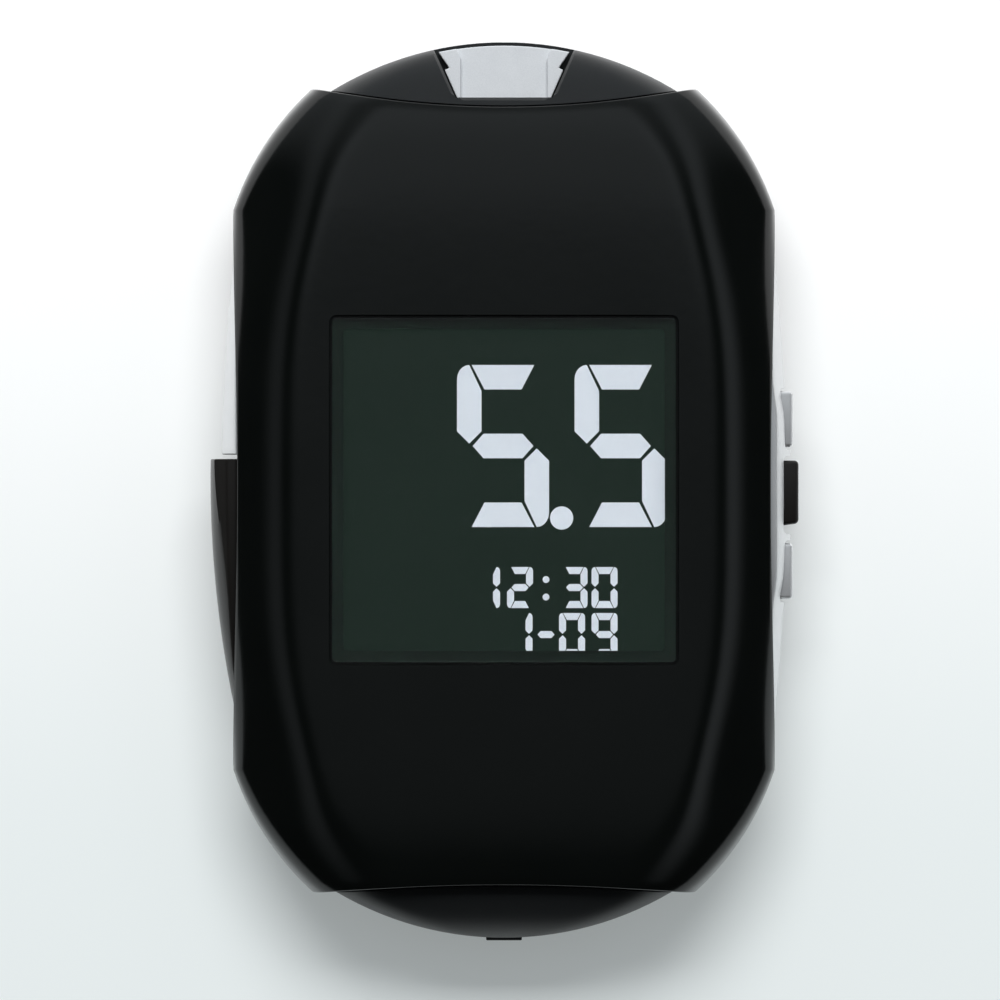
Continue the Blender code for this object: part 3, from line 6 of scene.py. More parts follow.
import bmesh
import bpy
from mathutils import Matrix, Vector


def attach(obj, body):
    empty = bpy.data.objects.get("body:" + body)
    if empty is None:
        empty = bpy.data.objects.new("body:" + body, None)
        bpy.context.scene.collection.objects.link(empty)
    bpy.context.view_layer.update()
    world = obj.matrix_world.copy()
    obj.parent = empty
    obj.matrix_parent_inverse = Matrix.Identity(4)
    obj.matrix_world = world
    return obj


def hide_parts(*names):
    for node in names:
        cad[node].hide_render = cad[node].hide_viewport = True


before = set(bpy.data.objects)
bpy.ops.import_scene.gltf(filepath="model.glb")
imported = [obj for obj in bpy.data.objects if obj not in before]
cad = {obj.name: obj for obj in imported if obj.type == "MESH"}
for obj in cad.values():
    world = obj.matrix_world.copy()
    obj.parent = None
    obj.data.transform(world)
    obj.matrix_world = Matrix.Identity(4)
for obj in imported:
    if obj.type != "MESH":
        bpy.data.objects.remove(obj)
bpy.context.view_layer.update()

MM = 0.001

# The sizes of the case, as the solids have them
SEAM = 0.2 * MM
SEAT = 0.15 * MM
RUN = 0.3 * MM
OVERRUN = 3.0 * MM
BITE = 0.3 * MM
WALL = 1.5 * MM
PARTING_Z = 8.0 * MM
CROWN = 8.3 * MM
FRONT_Z = PARTING_Z + CROWN
SIDE_X = 27.0 * MM
FLAT_SINK = 0.3 * MM
DOME_POWER = 8
WINDOW_SIDE = 34.2 * MM
NOSE_END_Y = 44.85 * MM
NOSE_ARC = 33.0 * MM
NOSE_ARC_Y = NOSE_END_Y - NOSE_ARC
NOSE_STEP = 0.8 * MM
TIP_Y = 28.0 * MM
TIP_PROUD = 0.1 * MM
COVER_ARC_DROP = 8.9 * MM
COVER_ARC_Y = TIP_Y - COVER_ARC_DROP
COVER_ARC = math.hypot(SIDE_X + TIP_PROUD, COVER_ARC_DROP)
COVER_SIDE_BULGE = 0.41 * MM
ARCH_RISE = 3.8 * MM
ARCH_FALL = 3.7 * MM
ARCH_POWER = 0.7
TOP_CUT_Y = 38.1 * MM
TOP_CUT_ARC = 93.0 * MM
BOTTOM_CUT_Y = 39.3 * MM
BOTTOM_CUT_ARC = 190.0 * MM
LAP_Y = 34.0 * MM

# The front cover's side facets: their slope, and how they fade into the round corners
FACET_SLOPE = 0.78
FACET_BLEND = 1.6 * MM
FACET_TURN = 5.0 * MM
FACET_X = 26.5 * MM
FACET_FLARE = 0.6 * MM
FACET_Z = 13.3 * MM
FACET_DIP = 2.0 * MM
FACET_DIP_Y = 29.0 * MM
FACET_DIP_LONG = 11.0 * MM
SIDE_OPEN = 1.2 * MM
SIDE_OPEN_Y = 28.0 * MM
SIDE_WALL_LEAST = 0.06 * MM
SIDE_WALL_ROUND = 0.18 * MM
EDGE_ROUND = 0.12 * MM

# Window, display and what holds them
WINDOW_TOP_Z = 16.1 * MM
LEDGE_TOP_Z = 14.95 * MM
LEDGE_LOW_Z = 14.05 * MM
OPENING_SIDE = 32.0 * MM
LEDGE_SIDE = 37.4 * MM
WINDOW_CORNER = 0.45 * MM
CELL_TOP_Z = 13.25 * MM
ON_BOARD_Z = 8.85 * MM
UNDER_BOARD_Z = 7.55 * MM
BOARD_END_Y = 37.0 * MM

# Screws, their places and their bosses
TOP_SCREW = (17.0 * MM, 30.5 * MM)
LOW_SCREW = (21.8 * MM, -15.5 * MM)
SCREW_HEAD_RADIUS = 1.7 * MM
SCREW_HEAD_THICK = 1.1 * MM
SCREW_SINK = 1.5 * MM
SCREW_RADIUS = 1.0 * MM
SCREW_TIP_Z = 12.05 * MM
BOSS_RADIUS = 2.1 * MM
PILOT_TOP_Z = 12.2 * MM

# Strip port
STRIP_Z = 9.5 * MM
STRIP_ROOM = 1.3 * MM
TRAY_LOW_Z = 8.6 * MM
TRAY_TOP_Z = 10.2 * MM
TRAY_CHANNEL = 8.7 * MM
TRAY_MOUTH_Y = 39.1 * MM
TRAY_NARROW = 4.85 * MM
TRAY_WIDE = 7.2 * MM
TRAY_STEP = 0.45 * MM
TRAY_STEP_Y = 42.0 * MM
TRAY_END_Y = 44.45 * MM
TRAY_FLARE = 0.5 * MM
TRAY_FLARE_LONG = 1.3 * MM
TRAY_SLOPE = (TRAY_WIDE - TRAY_NARROW) / (TRAY_END_Y - TRAY_MOUTH_Y)
TRAY_INNER_Y = 37.25 * MM
SHELF_THICK = 1.4 * MM
SHELF_X = 8.2 * MM

# Side trims, keys and lever
TRIM_X = 28.3 * MM
TRIM_BOW = 1.6 * MM
TRIM_WALL = 1.5 * MM
TRIM_EDGE_DROP = 1.7 * MM
TRIM_END_Y = 26.5 * MM
PLATEAU_RISE = 0.45 * MM
PLATEAU_HALF = 7.5 * MM
PLATEAU_BLEND = 4.5 * MM
KEY_ROW_Y = -0.5 * MM
KEY_PITCH = 7.6 * MM
KEY_Z = 7.9 * MM
KEY_INNER_X = 25.3 * MM
KEY_FLANGE = 0.6 * MM
KEY_FLANGE_THICK = 0.7 * MM
POST_SIDE = 1.6 * MM
POST_Z = 10.0 * MM
POST_END_X = 24.25 * MM
LEVER_X = 29.4 * MM
LEVER_BOW = 3.2 * MM
LEVER_CREST_Y = 1.0 * MM
LEVER_TOP_Y = 3.1 * MM
LEVER_LOW_Y = -25.4 * MM
LEVER_EDGE_DROP = 1.9 * MM
LEVER_WALL = 1.3 * MM
LEVER_GAP_Y = 0.45 * MM
PIVOT = (-24.411 * MM, -23.2 * MM)
KNUCKLE_RADIUS = 1.3 * MM
PIN_RADIUS = 0.6 * MM
PIN_GRIP = 1.6 * MM
CRANK = (-21.3 * MM, 7.5 * MM)
CRANK_ARM = 6.0 * MM
CRANK_HALF = 0.9 * MM
CRANK_POST = 0.85 * MM
CRANK_Z = 10.6 * MM
CRANK_THICK = 1.0 * MM
NUB_RADIUS = 0.6 * MM

# Battery bay and door
CELL_AT = (10.4 * MM, -25.0 * MM)
CELL_RADIUS = 10.0 * MM
CAN_STEP = 0.5 * MM
BATTERY_LOW_Z = 1.65 * MM
BATTERY_TOP_Z = 4.85 * MM
POCKET_ROOM = 0.4 * MM
POCKET_TOP_Z = 5.75 * MM
BAY_TOP_Z = 6.75 * MM
BAY_BORDER = 1.4 * MM
DOOR_X = 20.9 * MM
DOOR_TOP_Y = -13.6 * MM
DOOR_LOW_Y = -36.2 * MM
DOOR_CORNER = 8.0 * MM
DOOR_RISE = 1.5 * MM
TONGUE_X = 4.0 * MM
TONGUE_TOP_Z = 7.0 * MM
LIP_WIDE = 3.6 * MM
LIP_PROUD = 0.35 * MM
LIP_Z = (4.9 * MM, 6.7 * MM)
HOOK_X = 12.0 * MM
HOOK_WIDE = 4.0 * MM
HOOK_REACH = 1.1 * MM
HOOK_ROOT = 0.7 * MM
HOOK_HEADROOM = 0.75 * MM
HOOK_THICK = 0.7 * MM
FINGER_WIDE = 3.0 * MM
FINGER_THICK = 0.3 * MM
FINGER_LONG = 9.0 * MM
CAN_ROOM = 0.07 * MM
CAN_SOFT = 0.18 * MM
CAN_GROOVE = 0.05 * MM
GRIP_COUNT = 4
GRIP_PITCH = 1.5 * MM
GRIP_WIDE = 15.0 * MM
GRIP_RADIUS = 0.55 * MM
GRIP_START_Y = -34.2 * MM
GRIP_PROUD = 0.3 * MM  # how far outside the door's face the grooves' centres lie

# Fineness of the meshes
SIDE_ROWS = 24
END_ROWS = 12
COVER_COLUMNS = 44
COLUMN_POWER = 1.5
ROUND_SIDES = 40
ARC_STEPS = 10
BAND_ROWS = 48
BAND_COLUMNS = 20


class Tree:
    """A node tree. Every node in it comes from node()."""

    def __init__(self, tree):
        self.tree = tree

    def node(self, kind, settings=None, values=None):
        """Adds a node: its settings first, then a value or a link for each socket, by name or number."""
        made = self.tree.nodes.new(kind)
        for key, value in (settings or {}).items():
            if key == "stops":
                fill_ramp(made.color_ramp, value)
            else:
                setattr(made, key, value)
        for key, value in (values or {}).items():
            self.feed(made.inputs[key], value)
        return made

    def feed(self, socket, value):
        if isinstance(value, Number):
            self.tree.links.new(value.socket, socket)
        elif isinstance(value, bpy.types.NodeSocket):
            self.tree.links.new(value, socket)
        else:
            socket.default_value = value

    def first(self, kind, values):
        """The first output of a node that has no settings."""
        return self.node(kind, {}, values).outputs[0]

    def number(self, kind, settings=None, values=None, output=0):
        return Number(self, self.node(kind, settings, values).outputs[output])


class Number:
    """A socket that carries a number. Arithmetic on it adds Math nodes."""

    def __init__(self, tree, socket):
        self.tree = tree
        self.socket = socket

    def math(self, operation, *terms):
        return self.tree.number("ShaderNodeMath", {"operation": operation}, dict(enumerate(terms)))

    def __add__(self, other):
        return self.math("ADD", self, other)

    __radd__ = __add__

    def __mul__(self, other):
        return self.math("MULTIPLY", self, other)

    __rmul__ = __mul__

    def __sub__(self, other):
        return self.math("SUBTRACT", self, other)

    def __rsub__(self, other):
        return self.math("SUBTRACT", other, self)

    def __truediv__(self, other):
        return self.math("DIVIDE", self, other)

    def __pow__(self, other):
        return self.math("POWER", self, other)

    def __abs__(self):
        return self.math("ABSOLUTE", self)

    def root(self):
        return self.math("SQRT", self)

    def sine(self):
        return self.math("SINE", self)

    def at_least(self, other):
        return self.math("MAXIMUM", self, other)

    def at_most(self, other):
        return self.math("MINIMUM", self, other)

    def clamped(self):
        return self.at_least(0.0).at_most(1.0)

    def between(self, low, high):
        """0 at low, 1 at high, straight between them and level outside."""
        return ((self - low) / (high - low)).clamped()

    def eased(self, low, high):
        share = self.between(low, high)
        return share * share * (3.0 - 2.0 * share)


def fill_ramp(ramp, stops):
    while len(ramp.elements) > 1:
        ramp.elements.remove(ramp.elements[0])
    for place, (position, colour) in enumerate(stops):
        stop = ramp.elements[0] if place == 0 else ramp.elements.new(position)
        stop.position = position
        stop.color = (*colour, 1.0)


class Finish(Tree):
    """A material whose pattern lies in the object's own coordinates."""

    def __init__(self, name, **constants):
        self.slot = name
        self.material = bpy.data.materials.new(name)
        self.material.use_nodes = True
        super().__init__(self.material.node_tree)
        self.shader = self.tree.nodes["Principled BSDF"]
        for key, value in constants.items():
            self.shader.inputs[key.replace("_", " ")].default_value = value
        self.place = self.node("ShaderNodeTexCoord").outputs["Object"]

    def stretched(self, scale, turn=(0.0, 0.0, 0.0)):
        node = self.node("ShaderNodeMapping", {}, {"Vector": self.place, "Rotation": turn, "Scale": scale})
        return node.outputs["Vector"]

    def noise(self, size, detail=2.0, roughness=0.5, place=None):
        """Noise whose lumps are about this size, in metres."""
        values = {"Vector": place or self.place, "Scale": 1 / size, "Detail": detail, "Roughness": roughness}
        return self.number("ShaderNodeTexNoise", {}, values)

    def cells(self, size, feature="F1", place=None):
        values = {"Vector": place or self.place, "Scale": 1 / size}
        return self.number("ShaderNodeTexVoronoi", {"feature": feature}, values)

    def mixed(self, share, low, high):
        """A colour between two colours."""
        values = {0: share, 6: colour_of(low), 7: colour_of(high)}
        return self.node("ShaderNodeMix", {"data_type": "RGBA"}, values).outputs[2]

    def colour(self, share, low, high):
        self.feed(self.shader.inputs["Base Color"], self.mixed(share, low, high))
        return self

    def roughness(self, value):
        self.feed(self.shader.inputs["Roughness"], value)
        return self

    def bump(self, height, depth, strength=1.0):
        values = {"Height": height, "Distance": depth, "Strength": strength}
        bump = self.node("ShaderNodeBump", {}, values)
        self.feed(self.shader.inputs["Normal"], bump.outputs["Normal"])
        return self


def colour_of(value):
    return (*value, 1.0) if isinstance(value, tuple) else value


def gloss_black():
    """The front cover: glossy moulded black, with the faint waviness and haze of a handled surface."""
    made = Finish("black_gloss", IOR=1.45)
    haze = made.noise(9 * MM, 3.0)
    made.colour(haze, (0.0020, 0.0026, 0.0024), (0.0029, 0.0036, 0.0033))
    made.roughness(0.11 + 0.05 * haze + 0.02 * made.noise(0.6 * MM))
    return made.bump(made.noise(1.6 * MM, 2.0), 0.004 * MM)


def grained_case():
    """Rear cover and door: black with a fine spark-eroded grain, a little polished on its high spots."""
    made = Finish("dark_case", IOR=1.38)
    grain = made.noise(0.16 * MM, 3.0, 0.6)
    patch = made.noise(7 * MM, 2.0)
    made.colour(grain, (0.008, 0.009, 0.0095), (0.016, 0.0175, 0.0185))
    made.roughness(0.3 + 0.14 * grain + 0.05 * patch)
    return made.bump(grain, 0.006 * MM)


def silver_paint():
    """Metallic paint: fine flakes under a clear lacquer."""
    made = Finish("silver_paint", Metallic=0.8, IOR=1.45)
    flake = made.cells(0.07 * MM)
    cloud = made.noise(2.5 * MM, 3.0)
    made.colour((flake * 0.7 + cloud * 0.5).clamped(), (0.80, 0.81, 0.825), (0.90, 0.905, 0.91))
    made.roughness(0.34 + 0.1 * flake)
    return made.bump(made.noise(0.12 * MM), 0.002 * MM)


def port_white():
    """The strip tray: silver-white plastic with a fine sandy grain."""
    made = Finish("port_white", Metallic=0.25)
    sand = made.noise(0.09 * MM, 2.0, 0.7)
    cloud = made.noise(1.8 * MM, 2.0)
    made.colour((sand * 0.8 + cloud * 0.25 - 0.05).clamped(), (0.60, 0.625, 0.655), (0.86, 0.885, 0.91))
    made.roughness(0.42 + 0.2 * sand)
    return made.bump(sand, 0.006 * MM)


def satin_black():
    """Lever and keys: warm black, satin, with a soft moulded grain."""
    made = Finish("key_black", IOR=1.45)
    grain = made.noise(0.2 * MM, 2.0)
    cloud = made.noise(4 * MM, 2.0)
    made.colour(cloud, (0.0055, 0.0048, 0.0042), (0.0085, 0.0075, 0.0066))
    made.roughness(0.24 + 0.08 * grain + 0.05 * cloud)
    return made.bump(grain, 0.003 * MM)


def window_clear():
    """The window: clear, hard coated, with the faintest haze of wiping."""
    made = Finish("window_clear", IOR=1.49, Transmission_Weight=1.0)
    wipe = made.noise(1.0, 3.0, 0.6, made.stretched((60.0, 400.0, 60.0), (0.0, 0.0, 0.5)))
    made.colour(wipe, (0.93, 0.955, 0.94), (0.96, 0.975, 0.965))
    return made.roughness(0.012 + 0.03 * wipe)


def display_glass():
    """The display cell: near-black glass with a dim green-grey back light, a little uneven."""
    made = Finish("display_glass", IOR=1.5, Emission_Strength=1.0)
    cloud = made.noise(14 * MM, 2.0)
    made.colour(cloud, (0.003, 0.0042, 0.0036), (0.0045, 0.006, 0.005))
    glow = made.mixed(cloud, (0.0005, 0.0085, 0.0035), (0.0008, 0.0098, 0.0045))
    made.feed(made.shader.inputs["Emission Color"], glow)
    return made.roughness(0.12 + 0.05 * cloud)


def border_print():
    """The band printed round the window's back, in the tone of the switched-off display."""
    made = Finish("border_print", Specular_IOR_Level=0.05)
    speck = made.noise(0.25 * MM, 2.0)
    made.colour(speck, (0.0060, 0.0150, 0.0100), (0.0072, 0.0170, 0.0115))
    return made.roughness(0.4 + 0.1 * speck)


def lit_segment():
    """The lit segments of the display: even, cool white."""
    made = Finish("lit_segment", Emission_Strength=1.0)
    dots = made.noise(0.3 * MM, 1.0)
    made.colour(dots, (0.40, 0.42, 0.45), (0.44, 0.46, 0.49))
    glow = made.mixed(dots, (0.46, 0.49, 0.56), (0.50, 0.53, 0.60))
    made.feed(made.shader.inputs["Emission Color"], glow)
    return made.roughness(0.5 + 0.1 * dots)


def soft_rubber():
    made = Finish("seal_rubber")
    dust = made.noise(0.12 * MM, 3.0, 0.6)
    made.colour(dust, (0.012, 0.012, 0.012), (0.030, 0.030, 0.029))
    made.roughness(0.68 + 0.2 * dust)
    return made.bump(dust, 0.01 * MM)


def moulded(name, low, high, rough, size=0.4 * MM, depth=0.004 * MM):
    """A plain moulded plastic with flow clouds and a light texture."""
    made = Finish(name)
    cloud = made.noise(5 * MM, 3.0)
    grain = made.noise(size, 2.0)
    made.colour(cloud, low, high)
    made.roughness(rough + 0.1 * grain + 0.06 * cloud)
    return made.bump(grain, depth)


def guide_clear():
    made = Finish("guide_clear", IOR=1.49, Transmission_Weight=0.85)
    dots = made.cells(0.5 * MM)
    made.colour(dots.between(0.2, 0.5), (0.90, 0.92, 0.93), (0.80, 0.85, 0.87))
    return made.roughness(0.15 + 0.2 * dots)


def board_green():
    """Solder mask over copper: pale tracks and a weave of glass fibre under the green."""
    made = Finish("board_green", IOR=1.5)
    dark = (0.0, 0.0, 0.0, 1.0)
    bright = (1.0, 1.0, 1.0, 1.0)
    values = {"Vector": made.place, "Scale": 420.0, "Mortar Size": 0.045, "Bias": 0.0}
    values.update({"Color1": dark, "Color2": dark, "Mortar": bright})
    tracks = made.node("ShaderNodeTexBrick", {"offset": 0.37, "squash": 0.6}, values).outputs["Fac"]
    weave = made.noise(0.35 * MM, 1.0)
    under = made.mixed(weave, (0.008, 0.060, 0.024), (0.012, 0.085, 0.034))
    made.colour(tracks, under, (0.035, 0.17, 0.065))
    made.roughness(0.28 + 0.15 * weave)
    return made.bump(Number(made, tracks), 0.03 * MM)


def chip_black():
    made = Finish("chip_black")
    grit = made.noise(0.06 * MM, 2.0, 0.7)
    made.colour(grit, (0.012, 0.012, 0.013), (0.032, 0.032, 0.034))
    made.roughness(0.45 + 0.2 * grit)
    return made.bump(grit, 0.006 * MM)


def brushed(name, low, high, rough, stretch, metallic=1.0):
    """A metal with fine drawn lines, stretched along one axis."""
    made = Finish(name, Metallic=metallic)
    lines = made.noise(1.0, 3.0, 0.6, made.stretched(stretch))
    stain = made.noise(2.2 * MM, 2.0)
    made.colour((lines * 0.7 + stain * 0.3).clamped(), low, high)
    made.roughness(rough + 0.16 * lines + 0.06 * stain)
    return made.bump(lines, 0.002 * MM)


def paints():
    """Every finish on the meter, by the name of its slot."""
    fine, long = 9000.0, 500.0
    lengthwise = (fine, long, fine)
    crosswise = (long, fine, fine)
    return {
        "black_gloss": gloss_black(),
        "dark_case": grained_case(),
        "silver_paint": silver_paint(),
        "port_white": port_white(),
        "key_black": satin_black(),
        "window_clear": window_clear(),
        "display_glass": display_glass(),
        "border_print": border_print(),
        "lit_segment": lit_segment(),
        "seal_rubber": soft_rubber(),
        "guide_clear": guide_clear(),
        "frame_white": moulded("frame_white", (0.56, 0.56, 0.54), (0.64, 0.64, 0.62), 0.42),
        "inner_white": moulded("inner_white", (0.50, 0.50, 0.48), (0.58, 0.58, 0.56), 0.38, 0.25 * MM),
        "board_green": board_green(),
        "chip_black": chip_black(),
        "bright_steel": brushed("bright_steel", (0.50, 0.50, 0.51), (0.66, 0.66, 0.66), 0.2, crosswise),
        "gold_contact": brushed("gold_contact", (0.78, 0.53, 0.19), (0.88, 0.66, 0.30), 0.18, lengthwise),
        "cell_steel": brushed("cell_steel", (0.56, 0.56, 0.54), (0.68, 0.68, 0.66), 0.16, crosswise),
    }


def link(obj):
    bpy.context.scene.collection.objects.link(obj)
    return obj


def new_piece(name, points, faces):
    """A closed mesh whose faces point outwards."""
    mesh = bpy.data.meshes.new(name)
    mesh.from_pydata([tuple(p) for p in points], [], faces)
    shape = bmesh.new()
    shape.from_mesh(mesh)
    bmesh.ops.recalc_face_normals(shape, faces=shape.faces)
    shape.to_mesh(mesh)
    shape.free()
    return link(bpy.data.objects.new(name, mesh))


def settle(obj):
    """Turns what the modifiers make into the piece's own mesh."""
    graph = bpy.context.evaluated_depsgraph_get()
    made = bpy.data.meshes.new_from_object(obj.evaluated_get(graph))
    old = obj.data
    obj.modifiers.clear()
    obj.data = made
    bpy.data.meshes.remove(old)
    made.name = obj.name
    return obj


def carve(target, *steps):
    """Cuts and fuses in turn. Each step is an operation and a tool, and the tools are used up."""
    for operation, tool in steps:
        step = target.modifiers.new(tool.name, "BOOLEAN")
        step.operation = operation
        step.object = tool
    settle(target)
    for _operation, tool in steps:
        bpy.data.objects.remove(tool)
    return target


def cut(target, *tools):
    return carve(target, *[("DIFFERENCE", tool) for tool in tools])


def fuse(target, *tools):
    return carve(target, *[("UNION", tool) for tool in tools])


def keep_inside(target, tool):
    return carve(target, ("INTERSECT", tool))


def rounded_edges(obj, width, segments=3, angle=40):
    step = obj.modifiers.new("edges", "BEVEL")
    step.width = width
    step.segments = segments
    step.limit_method = "ANGLE"
    step.angle_limit = math.radians(angle)
    return settle(obj)


def finish_piece(obj, paint, body, *stands_for, sharp=32, slot=None):
    """Shading, material, body and the CAD nodes that the piece stands for."""
    obj.data.shade_smooth()
    obj.data.set_sharp_from_angle(angle=math.radians(sharp))
    obj.data.materials.clear()
    obj.data.materials.append(paint.material)
    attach(obj, body)
    if stands_for:
        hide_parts(*stands_for)
    slot or paint.slot
    return obj


def circle(centre, radius, sides=ROUND_SIDES):
    turns = [2 * math.pi * k / sides for k in range(sides)]
    return [(centre[0] + radius * math.cos(t), centre[1] + radius * math.sin(t)) for t in turns]


def rounded(low, high, radius, steps=ARC_STEPS):
    centres = (
        (high[0] - radius, high[1] - radius),
        (low[0] + radius, high[1] - radius),
        (low[0] + radius, low[1] + radius),
        (high[0] - radius, low[1] + radius),
    )
    points = []
    for quarter, centre in enumerate(centres):
        for k in range(steps + 1):
            turn = math.pi / 2 * (quarter + k / steps)
            points.append((centre[0] + radius * math.cos(turn), centre[1] + radius * math.sin(turn)))
    return points


def square_outline(side, radius, steps=ARC_STEPS):
    half = side / 2
    return rounded((-half, -half), (half, half), radius, steps)


def stack(name, levels):
    """A solid through outlines of the same count: each level is (outline, height), low one first."""
    count = len(levels[0][0])
    points = [(x, y, z) for outline, z in levels for x, y in outline]
    last = (len(levels) - 1) * count
    faces = [list(range(count)), list(range(last, last + count))]
    for level in range(len(levels) - 1):
        base = level * count
        for k in range(count):
            after = (k + 1) % count
            faces.append((base + k, base + after, base + count + after, base + count + k))
    return new_piece(name, points, faces)


def extrude(name, outline, low, high, axis="Z"):
    """Pushes an outline in X and Y along Z, or with axis X one in Y and Z along X."""
    count = len(outline)
    points = [(h, a, b) if axis == "X" else (a, b, h) for h in (low, high) for a, b in outline]
    faces = [list(range(count)), list(range(count, 2 * count))]
    faces += [(k, (k + 1) % count, count + (k + 1) % count, count + k) for k in range(count)]
    return new_piece(name, points, faces)


def block(name, low, high):
    outline = [(low[0], low[1]), (high[0], low[1]), (high[0], high[1]), (low[0], high[1])]
    return extrude(name, outline, low[2], high[2])


def rod(name, centre, radius, low, high, sides=ROUND_SIDES):
    return extrude(name, circle(centre, radius, sides), low, high)


def lathe(name, profile, centre, sides=96):
    """Turns (radius, height) points about a vertical axis, on which the profile starts and ends."""
    points = [(*centre, profile[0][1]), (*centre, profile[-1][1])]
    rings = profile[1:-1]
    for radius, height in rings:
        points += [(x, y, height) for x, y in circle(centre, radius, sides)]
    faces = []
    last = 2 + (len(rings) - 1) * sides
    for k in range(sides):
        after = (k + 1) % sides
        faces.append((0, 2 + after, 2 + k))
        faces.append((1, last + k, last + after))
        for ring in range(len(rings) - 1):
            base = 2 + ring * sides
            faces.append((base + k, base + after, base + sides + after, base + sides + k))
    return new_piece(name, points, faces)


def rim_loop(grid):
    """The outer edge of a grid of points, once round."""
    right = [row[-1] for row in grid[1:-1]]
    left = [row[0] for row in grid[1:-1]]
    return grid[0] + right + grid[-1][::-1] + left[::-1]


def shell(name, outer, loops, inner):
    """A closed shell: an outer grid, loops that lead round its edge, and an inner grid."""
    rows, columns = len(outer), len(outer[0])
    points = [p for row in outer for p in row] + [p for row in inner for p in row]
    shift = rows * columns
    order = list(range(columns))
    order += [r * columns + columns - 1 for r in range(1, rows - 1)]
    order += [(rows - 1) * columns + k for k in range(columns - 1, -1, -1)]
    order += [r * columns for r in range(rows - 2, 0, -1)]
    bands = [order]
    for loop in loops:
        base = len(points)
        points += rim_loop(loop)
        bands.append([base + k for k in range(len(order))])
    bands.append([shift + k for k in order])
    faces = []
    for base in (0, shift):
        for r in range(rows - 1):
            for c in range(columns - 1):
                at = base + r * columns + c
                faces.append((at, at + 1, at + columns + 1, at + columns))
    for first, second in zip(bands, bands[1:]):
        for k in range(len(order)):
            after = (k + 1) % len(order)
            faces.append((first[k], first[after], second[after], second[k]))
    return new_piece(name, points, faces)


def round_steps(radius, count=3):
    """(inset, gap) pairs that lead round an edge of this radius."""
    turns = [math.pi / 2 * k / count for k in range(count + 1)]
    return [(radius * (1 - math.cos(t)), -radius * (1 - math.sin(t))) for t in turns]


def rolled_shell(name, grid, wall, radius):
    """A shell with round edges, from a function that gives the grid for an inset and an edge gap."""
    steps = round_steps(radius)
    back = [(wall - inset, gap) for inset, gap in reversed(steps)]
    loops = [grid(inset, gap) for inset, gap in steps[1:] + back[:-1]]
    return shell(name, grid(*steps[0]), loops, grid(*back[-1]))


def dome(share):
    return math.sqrt(max(0, 1 - abs(share) ** DOME_POWER))


def arc_width(y, radius, centre):
    return math.sqrt(max(0, radius**2 - (abs(y) - centre) ** 2))


def blend_min(a, b, width):
    """The smaller of two values, with a soft change over this width."""
    share = min(1, max(0, 0.5 + 0.5 * (b - a) / width))
    return b + (a - b) * share - width * share * (1 - share)


def cover_width(y, inset=0):
    if abs(y) >= TIP_Y:
        return arc_width(y, COVER_ARC - inset, COVER_ARC_Y)
    return SIDE_X + TIP_PROUD + COVER_SIDE_BULGE * (1 - (y / TIP_Y) ** 2) - inset


def arch(y):
    return max(0, 1 - (y / TIP_Y) ** 2) ** ARCH_POWER


def front_rim(y):
    return PARTING_Z + SEAM + ARCH_RISE * arch(y)


def rear_rim(y):
    return PARTING_Z - ARCH_FALL * arch(y)


def rim_width(y):
    """Half width of the front cover at its lower edge."""
    length = COVER_ARC_Y + COVER_ARC
    share = min(1, (front_rim(y) - PARTING_Z) / (CROWN * dome(y / length)))
    return cover_width(y) * (1 - share**2) ** (1 / DOME_POWER)


def crown(x, y, inset=0):
    """Height of the front cover's face: a square dome with a soft facet along each side."""
    length = COVER_ARC_Y + COVER_ARC - inset
    opened = SIDE_OPEN * max(0, 1 - (y / SIDE_OPEN_Y) ** 2) ** 2
    across = min(1, abs(x) / max(cover_width(y, inset) + opened, MM))
    face = PARTING_Z + (CROWN - inset) * dome(y / length) * dome(across)
    from_side = FACET_X + FACET_FLARE * (y / TIP_Y) ** 2 - abs(x)
    from_arc = COVER_ARC - math.hypot(x, max(0, abs(y) - COVER_ARC_Y))
    inward = blend_min(from_side, from_arc, FACET_TURN)
    dip = FACET_DIP * math.exp(-(((abs(y) - FACET_DIP_Y) / FACET_DIP_LONG) ** 2))
    facet = FACET_Z - dip + FACET_SLOPE * inward - inset * math.hypot(1, FACET_SLOPE)
    return blend_min(face, facet, FACET_BLEND)


def end_cut(x, top, gap=0):
    if top:
        return TOP_CUT_Y + gap + TOP_CUT_ARC - math.sqrt(TOP_CUT_ARC**2 - x**2)
    return -(BOTTOM_CUT_Y + gap + BOTTOM_CUT_ARC - math.sqrt(BOTTOM_CUT_ARC**2 - x**2))


def wall_round(radius):
    """Steps from the facet round into the side wall, from the corner that the two would make."""
    slope = math.atan(FACET_SLOPE)
    rise = radius * (FACET_SLOPE - 1 / math.cos(slope))
    turns = [slope + (math.pi / 2 - slope) * k / 3 for k in range(4)]
    return [(radius * (math.sin(t) - 1), rise + radius * math.cos(t)) for t in turns]


def rim_shares(count):
    right = [1 - (1 - k / count) ** COLUMN_POWER for k in range(1, count + 1)]
    return [-s for s in reversed(right)] + [0] + right


def cover_rows(gap):
    steps = range(-SIDE_ROWS, SIDE_ROWS + 1)
    side = [(TIP_Y * math.sin(math.pi / 2 * k / SIDE_ROWS), 0) for k in steps]
    shares = [k / END_ROWS for k in range(1, END_ROWS + 1)]
    top = [(TIP_Y + (TOP_CUT_Y + gap - TIP_Y) * s, s) for s in shares]
    low = [(-TIP_Y - (BOTTOM_CUT_Y + gap - TIP_Y) * s, s) for s in reversed(shares)]
    return low + side + top


